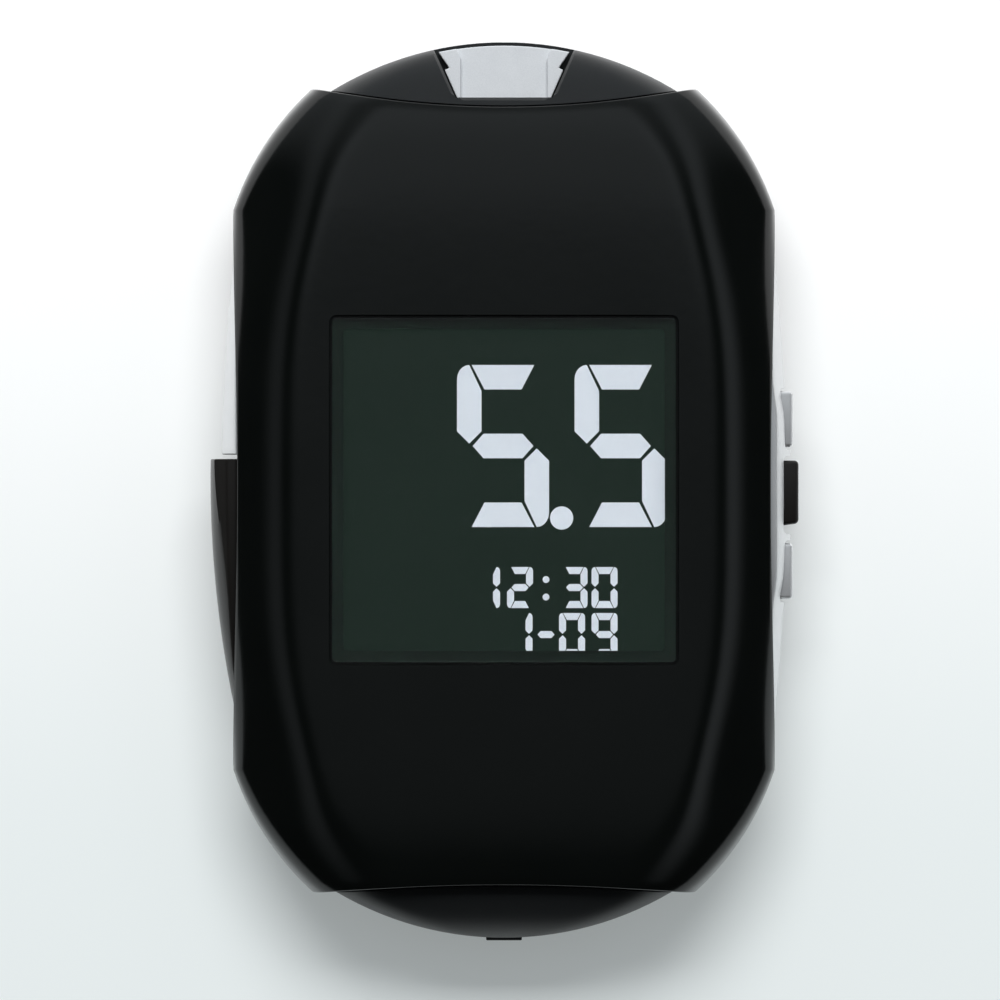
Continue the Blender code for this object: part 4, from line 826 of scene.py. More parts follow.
def cover_surface(inset, gap=0):
    """The front cover's face, this far inside of it, with its edge this far beyond its seam."""
    grid = []
    for middle, share in cover_rows(gap):
        top = middle > 0

        def bowed(x):
            return middle + share * (end_cut(x, top) - end_cut(0, top))

        y = middle
        for _ in range(4):
            width = rim_width(y) - inset
            y = bowed(width)
        rim_z = front_rim(y) - gap
        wall_z = max(rim_z + SIDE_WALL_LEAST, crown(width, y, inset))
        edge = [(width + a, wall_z + b) for a, b in wall_round(min(SIDE_WALL_ROUND, (wall_z - rim_z) / 3))]
        edge.append((width, rim_z))
        row = [(-x, bowed(x), z) for x, z in reversed(edge)]
        for s in rim_shares(COVER_COLUMNS)[1:-1]:
            x = width * s
            row.append((x, bowed(x), max(rim_z + SIDE_WALL_LEAST, crown(x, bowed(x), inset))))
        grid.append(row + [(x, bowed(x), z) for x, z in edge])
    return grid


def front_cover(paint):
    cover = rolled_shell("cover_shell", cover_surface, WALL, EDGE_ROUND)
    ledge = extrude("ledge", square_outline(LEDGE_SIDE, WINDOW_CORNER), LEDGE_LOW_Z, LEDGE_TOP_Z + BITE)
    side = WINDOW_SIDE + 2 * SEAM
    corner = WINDOW_CORNER + SEAM
    soft = 0.07 * MM
    levels = [
        (square_outline(side, corner), LEDGE_TOP_Z),
        (square_outline(side, corner), WINDOW_TOP_Z - soft),
        (square_outline(side + soft, corner + soft / 2), WINDOW_TOP_Z + soft / 2),
        (square_outline(side + 4 * soft, corner + 2 * soft), FRONT_Z + soft),
        (square_outline(side + 4 * soft, corner + 2 * soft), FRONT_Z + OVERRUN),
    ]
    opening = square_outline(OPENING_SIDE, WINDOW_CORNER)
    steps = [("UNION", ledge), ("DIFFERENCE", stack("pocket", levels))]
    steps.append(("DIFFERENCE", extrude("opening", opening, LEDGE_LOW_Z - OVERRUN, FRONT_Z + OVERRUN)))
    for side in (-1, 1):
        for x, y in (TOP_SCREW, LOW_SCREW):
            place = (side * x, y)
            root = crown(x, y, WALL) + BITE
            steps.append(("UNION", rod("boss", place, BOSS_RADIUS, ON_BOARD_Z, root)))
            pilot = rod("pilot", place, SCREW_RADIUS + SEAT, ON_BOARD_Z - OVERRUN, PILOT_TOP_Z)
            steps.append(("DIFFERENCE", pilot))
    post_root = crown(*CRANK, WALL) + BITE
    steps.append(("UNION", rod("crank_post", CRANK, CRANK_POST, ON_BOARD_Z, post_root)))
    pin_low = front_rim(PIVOT[1])
    pin_root = crown(*PIVOT, WALL) + BITE
    steps.append(("UNION", rod("pin_boss", PIVOT, KNUCKLE_RADIUS, pin_low, pin_root)))
    pin_hole = rod("pin_hole", PIVOT, PIN_RADIUS + SEAT, pin_low - OVERRUN, pin_low + PIN_GRIP + SEAT)
    steps.append(("DIFFERENCE", pin_hole))
    carve(cover, *steps)
    return finish_piece(cover, paint["black_gloss"], "case", "front_cover", sharp=38)


def pebble_tree():
    """Geometry nodes for the rear cover's full form: two grids laid over one rule for its cross-section."""
    group = bpy.data.node_groups.new("pebble_form", "GeometryNodeTree")
    tree = Tree(group)
    sockets = group.interface
    sizes = {
        "Length": NOSE_END_Y,
        "Half Width": SIDE_X,
        "Nose Arc": NOSE_ARC,
        "Nose Arc Y": NOSE_ARC_Y,
        "Corner Arc": COVER_ARC,
        "Corner Arc Y": COVER_ARC_Y,
        "Rim Height": PARTING_Z,
        "Rise": CROWN - NOSE_STEP,
        "Flat Sink": FLAT_SINK,
        "Inset": 0.0,
    }
    for name, value in sizes.items():
        sockets.new_socket(name, in_out="INPUT", socket_type="NodeSocketFloat").default_value = value
    for name, value in (("Rows", 97), ("Columns", 65)):
        sockets.new_socket(name, in_out="INPUT", socket_type="NodeSocketInt").default_value = value
    sockets.new_socket("Finish", in_out="INPUT", socket_type="NodeSocketMaterial")
    sockets.new_socket("Geometry", in_out="OUTPUT", socket_type="NodeSocketGeometry")
    given = tree.node("NodeGroupInput").outputs
    size = {name: Number(tree, given[name]) for name in sizes}
    grid_sizes = {"Size X": 2.0, "Size Y": 2.0, "Vertices X": given["Columns"], "Vertices Y": given["Rows"]}
    grid = tree.node("GeometryNodeMeshGrid", {}, grid_sizes).outputs["Mesh"]
    place = tree.node("GeometryNodeInputPosition").outputs["Position"]
    parts = tree.node("ShaderNodeSeparateXYZ", {}, {"Vector": place}).outputs
    across = (Number(tree, parts["X"]) * (math.pi / 2)).sine()
    along = (Number(tree, parts["Y"]) * (math.pi / 2)).sine()
    inset = size["Inset"]
    y = along * (size["Length"] - inset)

    def arc(radius, centre):
        reach = radius - inset
        off = (abs(y) - centre).at_least(0.0)
        return (reach * reach - off * off).at_least(0.0).root()

    def square_dome(share):
        return (1.0 - abs(share) ** float(DOME_POWER)).at_least(0.0).root()

    nose = arc(size["Nose Arc"], size["Nose Arc Y"])
    corner = arc(size["Corner Arc"], size["Corner Arc Y"])
    width = nose.at_most(corner).at_most(size["Half Width"] - inset)
    fall = square_dome(along) * square_dome(across)
    high = size["Rim Height"] + (size["Rise"] - inset) * fall
    low = (size["Rim Height"] - (size["Rim Height"] + size["Flat Sink"] - inset) * fall).at_least(inset)
    halves = []
    for height in (high, low):
        point = tree.first("ShaderNodeCombineXYZ", {"X": width * across, "Y": y, "Z": height})
        moved = tree.first("GeometryNodeSetPosition", {"Geometry": grid, "Position": point})
        halves.append(moved)
    halves[1] = tree.first("GeometryNodeFlipFaces", {"Mesh": halves[1]})
    joined = tree.node("GeometryNodeJoinGeometry")
    for half in halves:
        tree.feed(joined.inputs[0], half)
    closing = {"Geometry": joined.outputs[0], "Distance": MM / 1000}
    closed = tree.first("GeometryNodeMergeByDistance", closing)
    real = tree.first("GeometryNodeRealizeInstances", {"Geometry": closed})
    painted = tree.first("GeometryNodeSetMaterial", {"Geometry": real, "Material": given["Finish"]})
    tree.node("NodeGroupOutput", {}, {"Geometry": painted})
    return group


def grown(name, group, **values):
    """The plain mesh that a geometry node tree makes with these inputs."""
    obj = link(bpy.data.objects.new(name, bpy.data.meshes.new(name)))
    step = obj.modifiers.new("form", "NODES")
    step.node_group = group
    for item in group.interface.items_tree:
        key = item.name.replace(" ", "_").lower()
        if item.in_out == "INPUT" and key in values:
            step[item.identifier] = values[key]
    return settle(obj)


def side_window(name, side):
    count = 40
    ys = [TIP_Y * math.sin(math.pi / 2 * k / count) for k in range(-count, count + 1)]
    outline = [(y, rear_rim(y)) for y in ys]
    outline += [(TIP_Y, PARTING_Z + OVERRUN), (-TIP_Y, PARTING_Z + OVERRUN)]
    ends = sorted((side * (SIDE_X - 2 * OVERRUN), side * (SIDE_X + OVERRUN)))
    return extrude(name, outline, ends[0], ends[1], axis="X")


def notch_level(grow):
    """Plan of the open notch over the strip tray, grown by this much at its sides and its mouth."""
    far_y = NOSE_END_Y + OVERRUN
    narrow = TRAY_NARROW + grow
    wide = TRAY_NARROW + TRAY_SLOPE * (far_y - TRAY_MOUTH_Y) + grow
    near_y = TRAY_MOUTH_Y - grow
    return [(-narrow, near_y), (narrow, near_y), (wide, far_y), (-wide, far_y)]


def nose_height(x, y):
    fall = dome(y / NOSE_END_Y) * dome(min(1, abs(x) / body_width(y)))
    return PARTING_Z + (CROWN - NOSE_STEP) * fall


def body_width(y):
    corner = arc_width(y, COVER_ARC, COVER_ARC_Y) if abs(y) > COVER_ARC_Y else SIDE_X
    return max(MM / 100, min(arc_width(y, NOSE_ARC, NOSE_ARC_Y), corner, SIDE_X))


def notch_lip():
    """A cutter that breaks the notch's upper edge along the nose's curved face."""
    deep = 0.32 * MM
    wide = 0.3 * MM
    points, faces = [], []
    stations = []
    count = 14
    for side in (-1, 1):
        line = []
        for k in range(count + 1):
            y = TRAY_MOUTH_Y + (NOSE_END_Y - TRAY_MOUTH_Y) * 0.985 * k / count
            x = side * (TRAY_NARROW + TRAY_SLOPE * (y - TRAY_MOUTH_Y))
            line.append((x, y, nose_height(x, y), side, 0))
        stations.append(line)
    path = list(reversed(stations[0]))
    mouth = [(TRAY_NARROW * k / 6, TRAY_MOUTH_Y, nose_height(0, TRAY_MOUTH_Y), 0, -1) for k in range(-5, 6)]
    path = path[:-1] + mouth + stations[1][1:]
    for x, y, z, out_x, out_y in path:
        points.append((x, y, z - deep))
        points.append((x + out_x * wide, y + out_y * wide, z + 0.02 * MM))
        points.append((x + out_x * wide, y + out_y * wide, z + deep))
        points.append((x - out_x * wide, y - out_y * wide, z + deep))
        points.append((x - out_x * wide, y - out_y * wide, z - deep))
    for k in range(len(path) - 1):
        for n in range(5):
            a, b = k * 5 + n, k * 5 + (n + 1) % 5
            faces.append((a, b, b + 5, a + 5))
    faces.append(tuple(range(5)))
    faces.append(tuple(range((len(path) - 1) * 5, len(path) * 5)))
    return new_piece("notch_lip", points, faces)


def door_plan(name, gap, low, high):
    plate = rounded((-DOOR_X - gap, DOOR_LOW_Y - gap), (DOOR_X + gap, DOOR_TOP_Y + gap), DOOR_CORNER + gap)
    outline = plate[: 3 * (ARC_STEPS + 1)]
    tail = plate[3 * (ARC_STEPS + 1) :]
    end_y = -NOSE_END_Y - OVERRUN
    half = TONGUE_X + gap
    tongue = [(-half, DOOR_LOW_Y - gap), (-half, end_y), (half, end_y), (half, DOOR_LOW_Y - gap)]
    return extrude(name, outline + tongue + tail, low, high)


def pocket_plan(room):
    x, y = CELL_AT
    half = CELL_RADIUS + room
    return rounded((-x - half, y - half), (x + half, y + half), half, 24)


def screw_head_z(x, y):
    across = abs(x) / body_width(y)
    surface = PARTING_Z - (PARTING_Z + FLAT_SINK) * dome(y / NOSE_END_Y) * dome(across)
    return max(0, surface) + SCREW_SINK


def battery_slots(side):
    x, y = CELL_AT
    half = FINGER_WIDE / 2 + SEAT
    rim_y = y - CELL_RADIUS
    depth = POCKET_ROOM + 2 * FINGER_THICK
    low = (side * x - half, rim_y - depth, WALL)
    high = (side * x + half, rim_y + POCKET_ROOM, BAY_TOP_Z + OVERRUN)
    tools = [block("plus_slot", low, high)]
    tail_y = y + FINGER_LONG / 2
    low = (side * x - half, tail_y - FINGER_THICK - SEAT, POCKET_TOP_Z - BITE)
    tools.append(block("minus_slot", low, (side * x + half, tail_y + SEAT, BAY_TOP_Z + OVERRUN)))
    half = HOOK_WIDE / 2 + RUN
    low = (side * HOOK_X - half, y + CELL_RADIUS, WALL)
    high = (side * HOOK_X + half, DOOR_TOP_Y + HOOK_REACH + RUN, WALL + SEAT + HOOK_THICK + HOOK_HEADROOM)
    tools.append(block("hook_slot", low, high))
    return tools


def rear_cover(paint, pebble):
    cover = grown("case_back", pebble)
    bay_low = (-DOOR_X - BAY_BORDER, DOOR_LOW_Y - BAY_BORDER)
    bay_high = (DOOR_X + BAY_BORDER, DOOR_TOP_Y + BAY_BORDER)
    bay = extrude("bay", rounded(bay_low, bay_high, DOOR_CORNER + BAY_BORDER), WALL - BITE, BAY_TOP_Z)
    keep_inside(bay, grown("bay_bound", pebble, inset=WALL / 2))
    port_low = TRAY_LOW_Z - SEAT - SHELF_THICK
    start_y = BOARD_END_Y + SEAM + SEAT
    port = block("port", (-SHELF_X, start_y, port_low), (SHELF_X, NOSE_END_Y, FRONT_Z))
    keep_inside(port, grown("port_bound", pebble, inset=BITE))
    steps = [("DIFFERENCE", grown("inside", pebble, inset=WALL)), ("UNION", bay), ("UNION", port)]
    for side in (-1, 1):
        for x, y in (TOP_SCREW, LOW_SCREW):
            boss = rod("boss", (side * x, y), BOSS_RADIUS + BITE, WALL - BITE, UNDER_BOARD_Z)
            steps.append(("UNION", boss))
    pin_low = rear_rim(PIVOT[1]) - PIN_GRIP
    pin_boss = rod("pin_boss", PIVOT, KNUCKLE_RADIUS, pin_low - WALL, rear_rim(PIVOT[1]) + SEAT)
    keep_inside(pin_boss, grown("pin_bound", pebble, inset=WALL / 2))
    steps.append(("UNION", pin_boss))
    reach = SIDE_X + OVERRUN
    tunnel_low = (-TRAY_NARROW, start_y - OVERRUN, TRAY_LOW_Z - SEAT)
    tongue_half = TONGUE_X + SEAM
    tongue_low = (-tongue_half, -NOSE_END_Y - OVERRUN, -OVERRUN)
    room = shell("cover_room", cover_surface(-OVERRUN, SEAM), [], cover_surface(WALL + SEAM, SEAM))
    cutters = [
        block("middle_room", (-reach, -LAP_Y, PARTING_Z), (reach, LAP_Y, FRONT_Z + OVERRUN)),
        room,
        side_window("left_window", -1),
        side_window("right_window", 1),
        rod("pin_hole", PIVOT, PIN_RADIUS + SEAT, pin_low - SEAT, PARTING_Z + OVERRUN),
        extrude("notch", notch_level(0), TRAY_LOW_Z - SEAT, FRONT_Z + OVERRUN),
        notch_lip(),
        block("tunnel", tunnel_low, (TRAY_NARROW, TRAY_MOUTH_Y + BITE, STRIP_Z + STRIP_ROOM)),
        door_plan("door_opening", SEAM, -OVERRUN, WALL + DOOR_RISE),
        block("tongue_room", tongue_low, (tongue_half, -NOSE_END_Y + 2 * OVERRUN, TONGUE_TOP_Z + SEAM)),
        extrude("pocket", pocket_plan(POCKET_ROOM), 0, POCKET_TOP_Z),
    ]
    for side in (-1, 1):
        cutters += battery_slots(side)
        for x, y in (TOP_SCREW, LOW_SCREW):
            place = (side * x, y)
            seat_z = screw_head_z(x, y) + SCREW_HEAD_THICK + SEAT
            cutters.append(rod("head_room", place, SCREW_HEAD_RADIUS + SEAT, -OVERRUN, seat_z))
            cutters.append(rod("shank_room", place, SCREW_RADIUS + SEAT, -OVERRUN, PARTING_Z))
    carve(cover, *steps, *[("DIFFERENCE", tool) for tool in cutters])
    return finish_piece(cover, paint["dark_case"], "case", "rear_cover", sharp=30)


def grip_tree():
    """Geometry nodes for a row of round grip grooves: bars on a line, as a cutter."""
    group = bpy.data.node_groups.new("grip_row", "GeometryNodeTree")
    tree = Tree(group)
    sockets = group.interface
    sockets.new_socket("Count", in_out="INPUT", socket_type="NodeSocketInt").default_value = GRIP_COUNT
    sizes = {
        "Pitch": GRIP_PITCH,
        "Width": GRIP_WIDE,
        "Radius": GRIP_RADIUS,
        "Start": GRIP_START_Y,
        "Height": -GRIP_PROUD,
    }
    for name, value in sizes.items():
        sockets.new_socket(name, in_out="INPUT", socket_type="NodeSocketFloat").default_value = value
    sockets.new_socket("Geometry", in_out="OUTPUT", socket_type="NodeSocketGeometry")
    given = tree.node("NodeGroupInput").outputs
    start = tree.first("ShaderNodeCombineXYZ", {"Y": given["Start"], "Z": given["Height"]})
    step = tree.first("ShaderNodeCombineXYZ", {"Y": given["Pitch"]})
    line = {"Count": given["Count"], "Start Location": start, "Offset": step}
    points = tree.first("GeometryNodeMeshLine", line)
    bar_sizes = {"Vertices": 24, "Radius": given["Radius"], "Depth": given["Width"]}
    bar = tree.node("GeometryNodeMeshCylinder", {}, bar_sizes).outputs["Mesh"]
    turned = {"Geometry": bar, "Rotation": (0.0, math.pi / 2, 0.0)}
    lying = tree.first("GeometryNodeTransform", turned)
    bars = tree.first("GeometryNodeInstanceOnPoints", {"Points": points, "Instance": lying})
    real = tree.first("GeometryNodeRealizeInstances", {"Geometry": bars})
    tree.node("NodeGroupOutput", {}, {"Geometry": real})
    return group


def battery_door(paint, pebble):
    door = grown("door_shell", pebble)
    lip_low, lip_high = LIP_Z
    end_y = -NOSE_END_Y - LIP_PROUD
    outline = [
        (-NOSE_END_Y + WALL / 2, lip_low),
        (-NOSE_END_Y + BITE, lip_low - LIP_PROUD),
        (end_y, lip_low + LIP_PROUD),
        (end_y, lip_high - LIP_PROUD),
        (-NOSE_END_Y + BITE, lip_high),
        (-NOSE_END_Y + WALL / 2, lip_high),
    ]
    lip = extrude("lip", outline, -LIP_WIDE / 2, LIP_WIDE / 2, axis="X")
    rounded_edges(lip, 0.12 * MM, 2, 20)
    steps = [
        ("DIFFERENCE", grown("door_inside", pebble, inset=WALL)),
        ("INTERSECT", door_plan("door_edge", 0, -OVERRUN, TONGUE_TOP_Z)),
        ("DIFFERENCE", extrude("pocket", pocket_plan(POCKET_ROOM), WALL, POCKET_TOP_Z)),
        ("UNION", lip),
    ]
    for side in (-1, 1):
        base = WALL + SEAT
        outline = [
            (DOOR_TOP_Y - HOOK_ROOT, WALL - BITE),
            (DOOR_TOP_Y - SEAM, WALL - BITE),
            (DOOR_TOP_Y - SEAM, base),
            (DOOR_TOP_Y + HOOK_REACH, base),
            (DOOR_TOP_Y + HOOK_REACH, base + HOOK_THICK / 2),
            (DOOR_TOP_Y + HOOK_REACH - HOOK_THICK / 2, base + HOOK_THICK),
            (DOOR_TOP_Y - HOOK_ROOT / 2, base + HOOK_THICK),
        ]
        x = side * HOOK_X
        steps.append(("UNION", extrude("hook", outline, x - HOOK_WIDE / 2, x + HOOK_WIDE / 2, axis="X")))
    steps.append(("DIFFERENCE", grown("grip_cutter", grip_tree())))
    carve(door, *steps)
    return finish_piece(door, paint["dark_case"], "door", "battery_door", sharp=30)


def plateau(y):
    away = abs(y - KEY_ROW_Y) - PLATEAU_HALF
    share = min(1, max(0, away / PLATEAU_BLEND))
    return PLATEAU_RISE * (1 - share * share * (3 - 2 * share))


def spread(low, high, count):
    return [low + (high - low) * k / count for k in range(count + 1)]


def band(side, low_y, high_y, reach, drop, seam, profile=None):
    """A grid function for a curved band in one side window."""
    full = (ARCH_RISE + ARCH_FALL) / 2

    def plain(y, share, low, high, inset):
        middle = (low + high) / 2
        z = middle + (high - low) / 2 * share
        return reach(y) - drop * ((z - middle) / full) ** 2 - inset, z

    place = profile or plain

    def grid(inset, gap):
        rows = []
        for y in spread(low_y - gap, high_y + gap, BAND_ROWS):
            low = rear_rim(y) + seam - gap
            high = front_rim(y) - seam + gap
            row = []
            for share in spread(-1, 1, BAND_COLUMNS):
                x, z = place(y, share, low, high, inset)
                row.append((side * x, y, z))
            rows.append(row)
        return rows

    return grid


def side_trims(paint):
    def left_reach(y):
        return TRIM_X - TRIM_BOW * (y / TRIM_END_Y) ** 2

    def right_reach(y):
        return left_reach(y) + plateau(y)

    radius = 0.14 * MM
    left_grid = band(-1, LEVER_TOP_Y + LEVER_GAP_Y, TRIM_END_Y, left_reach, TRIM_EDGE_DROP, SEAM)
    left = rolled_shell("trim_left", left_grid, TRIM_WALL, radius)
    finish_piece(left, paint["silver_paint"], "case", "left_side_trim")
    right_grid = band(1, -TRIM_END_Y, TRIM_END_Y, right_reach, TRIM_EDGE_DROP, SEAM)
    right = rolled_shell("trim_right", right_grid, TRIM_WALL, radius)
    holes = []
    for name, y, long, tall, _outer_x in key_table():
        half = long / 2 + RUN
        rise = tall / 2 + RUN
        corner = 0.6 * MM
        outline = rounded((y - half, KEY_Z - rise), (y + half, KEY_Z + rise), corner, 6)
        holes.append(extrude(name + "_hole", outline, SIDE_X - 2 * OVERRUN, SIDE_X + OVERRUN, axis="X"))
    cut(right, *holes)
    finish_piece(right, paint["silver_paint"], "case", "right_side_trim")


def key_table():
    """(name, y, length, height, outer x) of each key."""
    scroll_x = 28.9 * MM
    return (
        ("up_key", KEY_ROW_Y + KEY_PITCH, 5.6 * MM, 4.4 * MM, scroll_x),
        ("enter_key", KEY_ROW_Y, 7.2 * MM, 5.0 * MM, 29.45 * MM),
        ("down_key", KEY_ROW_Y - KEY_PITCH, 5.6 * MM, 4.4 * MM, scroll_x),
    )


def side_keys(paint):
    for name, y, long, tall, outer_x in key_table():
        enter = name == "enter_key"
        top_y = y + long / 2 - (0.15 * MM if enter else 0)
        low_y = y - long / 2 + (0.2 * MM if enter else 0)
        slant = 0.55 * MM if enter else 0
        inner_x = KEY_INNER_X - BITE
        outline = [(inner_x, low_y), (outer_x, low_y + slant), (outer_x, top_y), (inner_x, top_y)]
        cap = extrude(name + "_cap", outline, KEY_Z - tall / 2, KEY_Z + tall / 2)
        rounded_edges(cap, 0.42 * MM, 5)
        back = KEY_INNER_X - KEY_FLANGE_THICK
        wide = long / 2 + KEY_FLANGE
        rise = tall / 2 + KEY_FLANGE
        flange = block("flange", (back, y - wide, KEY_Z - rise), (KEY_INNER_X, y + wide, KEY_Z + rise))
        stud = POST_SIDE / 2
        post = block("stud", (POST_END_X, y - stud, POST_Z - stud), (back + BITE, y + stud, POST_Z + stud))
        fuse(cap, flange, post)
        finish = paint["key_black"] if enter else paint["silver_paint"]
        finish_piece(cap, finish, name.split("_")[0], name, sharp=14)


def eject_lever(paint):
    """The lever: a flat facet along its upper edge that runs out downwards, and a rolled outer band."""
    facet_fall = 0.84
    facet_long = 1.1 * MM
    facet_end_y = -12.0 * MM
    full = (ARCH_RISE + ARCH_FALL) / 2

    def reach(y):
        return LEVER_X - LEVER_BOW * ((y - LEVER_CREST_Y) / (LEVER_LOW_Y - LEVER_CREST_Y)) ** 2

    def profile(y, share, low, high, inset):
        middle = (low + high) / 2
        crest = reach(y)
        edge_x = crest - LEVER_EDGE_DROP * ((high - middle) / full) ** 2
        part = min(1, max(0, (y - facet_end_y) / (LEVER_TOP_Y - facet_end_y)))
        wide = facet_long * part * part * (3 - 2 * part) + 0.02 * MM
        bend_z = high - facet_fall * wide
        bend_x = edge_x + wide
        if share > 0.7:
            step = (share - 0.7) / 0.3
            return bend_x + (edge_x - bend_x) * step - inset, bend_z + (high - bend_z) * step
        if share > 0:
            z = middle + (bend_z - middle) * share / 0.7
            return crest - (crest - bend_x) * ((z - middle) / (bend_z - middle)) ** 2 - inset, z
        z = middle + (middle - low) * share
        return crest - LEVER_EDGE_DROP * ((z - middle) / full) ** 2 - inset, z

    grid = band(-1, LEVER_LOW_Y, LEVER_TOP_Y, reach, LEVER_EDGE_DROP, RUN, profile)
    lever = rolled_shell("lever_grip", grid, LEVER_WALL, 0.14 * MM)
    low = rear_rim(PIVOT[1]) + RUN
    high = front_rim(PIVOT[1]) - RUN
    nub_y = CRANK[1] - CRANK_ARM
    tip_x = CRANK[0] - CRANK_HALF - RUN
    root_x = -(LEVER_X - LEVER_WALL - BITE)
    finger_low = (root_x, nub_y - NUB_RADIUS, CRANK_Z)
    finger_high = (tip_x - NUB_RADIUS, nub_y + NUB_RADIUS, CRANK_Z + CRANK_THICK)
    carve(
        lever,
        ("UNION", rod("knuckle", PIVOT, KNUCKLE_RADIUS, low, high)),
        ("DIFFERENCE", rod("bore", PIVOT, PIN_RADIUS + SEAT, 0, FRONT_Z)),
        ("UNION", block("finger", finger_low, finger_high)),
        ("UNION", rod("nub", (tip_x - NUB_RADIUS, nub_y), NUB_RADIUS, CRANK_Z, CRANK_Z + CRANK_THICK)),
    )
    return finish_piece(lever, paint["key_black"], "lever", "eject_lever", sharp=20)


def window_pane(paint):
    edge = 0.09 * MM
    low = LEDGE_TOP_Z + SEAT
    levels = [
        (square_outline(WINDOW_SIDE - edge, WINDOW_CORNER - edge / 2), low),
        (square_outline(WINDOW_SIDE, WINDOW_CORNER), low + edge / 2),
        (square_outline(WINDOW_SIDE, WINDOW_CORNER), WINDOW_TOP_Z - edge),
        (square_outline(WINDOW_SIDE - edge / 2, WINDOW_CORNER), WINDOW_TOP_Z - edge / 4),
        (square_outline(WINDOW_SIDE - 2 * edge, WINDOW_CORNER - edge), WINDOW_TOP_Z),
    ]
    pane = stack("window_pane", levels)
    finish_piece(pane, paint["window_clear"], "case", "display_window", sharp=10)
    outer = square_outline(WINDOW_SIDE - 2 * edge, WINDOW_CORNER - edge)
    inner = square_outline(OPENING_SIDE, WINDOW_CORNER - edge)
    print_low = LEDGE_TOP_Z + 0.04 * MM
    print_high = LEDGE_TOP_Z + 0.12 * MM
    ring = extrude("window_print", outer, print_low, print_high)
    cut(ring, extrude("print_opening", inner, print_low - OVERRUN, print_high + OVERRUN))
    finish_piece(ring, paint["border_print"], "case", slot="display_glass")


def segment_shapes(width, height, thick):
    """Outlines of the seven segments of a figure about its middle, by letter from the top one on."""
    across, up = width / 2, height / 2
    gap = thick * 0.1
    shoulder = thick * 0.5
    slant = thick * 0.52
    point = thick * 0.5
    top_left = (-across + shoulder, up)
    bar = [
        (top_left[0] + gap, up),
        (-top_left[0] - gap, up),
        (-top_left[0] - slant - gap, up - thick),
        (top_left[0] + slant + gap, up - thick),
    ]
    bend = []
    for turn in spread(0, math.pi / 2, 5):
        bend_x = -across + shoulder * (1 - math.sin(turn))
        bend_y = up - shoulder * (1 - math.cos(turn)) * 1.15
        bend.append((bend_x, bend_y))
    upright = bend + [
        (-across, point + gap),
        (-across + thick / 2, gap),
        (-across + thick, point + gap),
        (-across + thick, up - thick - gap * 0.6),
    ]
    cross = [
        (-across + thick / 2 + gap * 1.4, 0),
        (-across + thick + gap * 0.8, point),
        (across - thick - gap * 0.8, point),
        (across - thick / 2 - gap * 1.4, 0),
        (across - thick - gap * 0.8, -point),
        (-across + thick + gap * 0.8, -point),
    ]

    def turned(shape, x, y):
        return [(a * x, b * y) for a, b in shape]

    return {
        "a": bar,
        "b": turned(upright, -1, 1),
        "c": turned(upright, -1, -1),
        "d": turned(bar, 1, -1),
        "e": turned(upright, 1, -1),
        "f": upright,
        "g": cross,
    }


LIT = {"0": "abcdef", "1": "bc", "2": "abged", "3": "abgcd", "5": "afgcd", "9": "abcdfg", "-": "g"}


def display_figures(paint):
    """The lit figures, thin plates on the display cell's face, as plain numbers. Each is its text, the
    place of its middle, its width, its height and its thickness, in pixels of the frame."""
    low, high = CELL_TOP_Z + 0.01 * MM, CELL_TOP_Z + 0.05 * MM
    figures = [("5", 503.0, 446.0, 92.0, 162.0, 24.5), ("5", 620.5, 446.0, 92.0, 162.0, 24.5)]
    for text, x in (("1", 487.0), ("2", 520.0), ("3", 574.5), ("0", 604.5)):
        figures.append((text, x, 587.5, 26.0, 41.0, 7.0))
    for text, x in (("1", 519.5), ("-", 546.0), ("0", 572.0), ("9", 604.5)):
        figures.append((text, x, 634.5, 26.0, 43.0, 7.0))
    points, faces = [], []

    def plate(outline):
        base = len(points)
        count = len(outline)
        points.extend([(x, y, z) for z in (low, high) for x, y in outline])
        faces.append(tuple(range(base, base + count)))
        faces.append(tuple(range(base + count, base + 2 * count)))
        for k in range(count):
            after = (k + 1) % count
            faces.append((base + k, base + after, base + count + after, base + count + k))

    def on_cell(px, py):
        """A place on the cell's face, from its pixel in the frame."""
        nearer = 1 - (high - VIEW_Z) / CAMERA_HIGH
        half = FRAME_PIXELS / 2
        x = VIEW_X + (px - half) * VIEW_WIDE / FRAME_PIXELS * nearer
        y = VIEW_Y + (half - py) * VIEW_WIDE / FRAME_PIXELS * nearer
        return x, y

    for text, x, y, width, tall, thick in figures:
        shapes = segment_shapes(width, tall, thick)
        for letter in LIT[text]:
            plate([on_cell(x + a, y - b) for a, b in shapes[letter]])
    for x, y, radius in ((561.6, 518.0, 11.6), (546.0, 579.5, 3.4), (546.0, 597.0, 3.4)):
        plate([on_cell(a, b) for a, b in circle((x, y), radius, 48)])
    made = new_piece("display_figures", points, faces)
    finish_piece(made, paint["lit_segment"], "case", slot="display_glass")


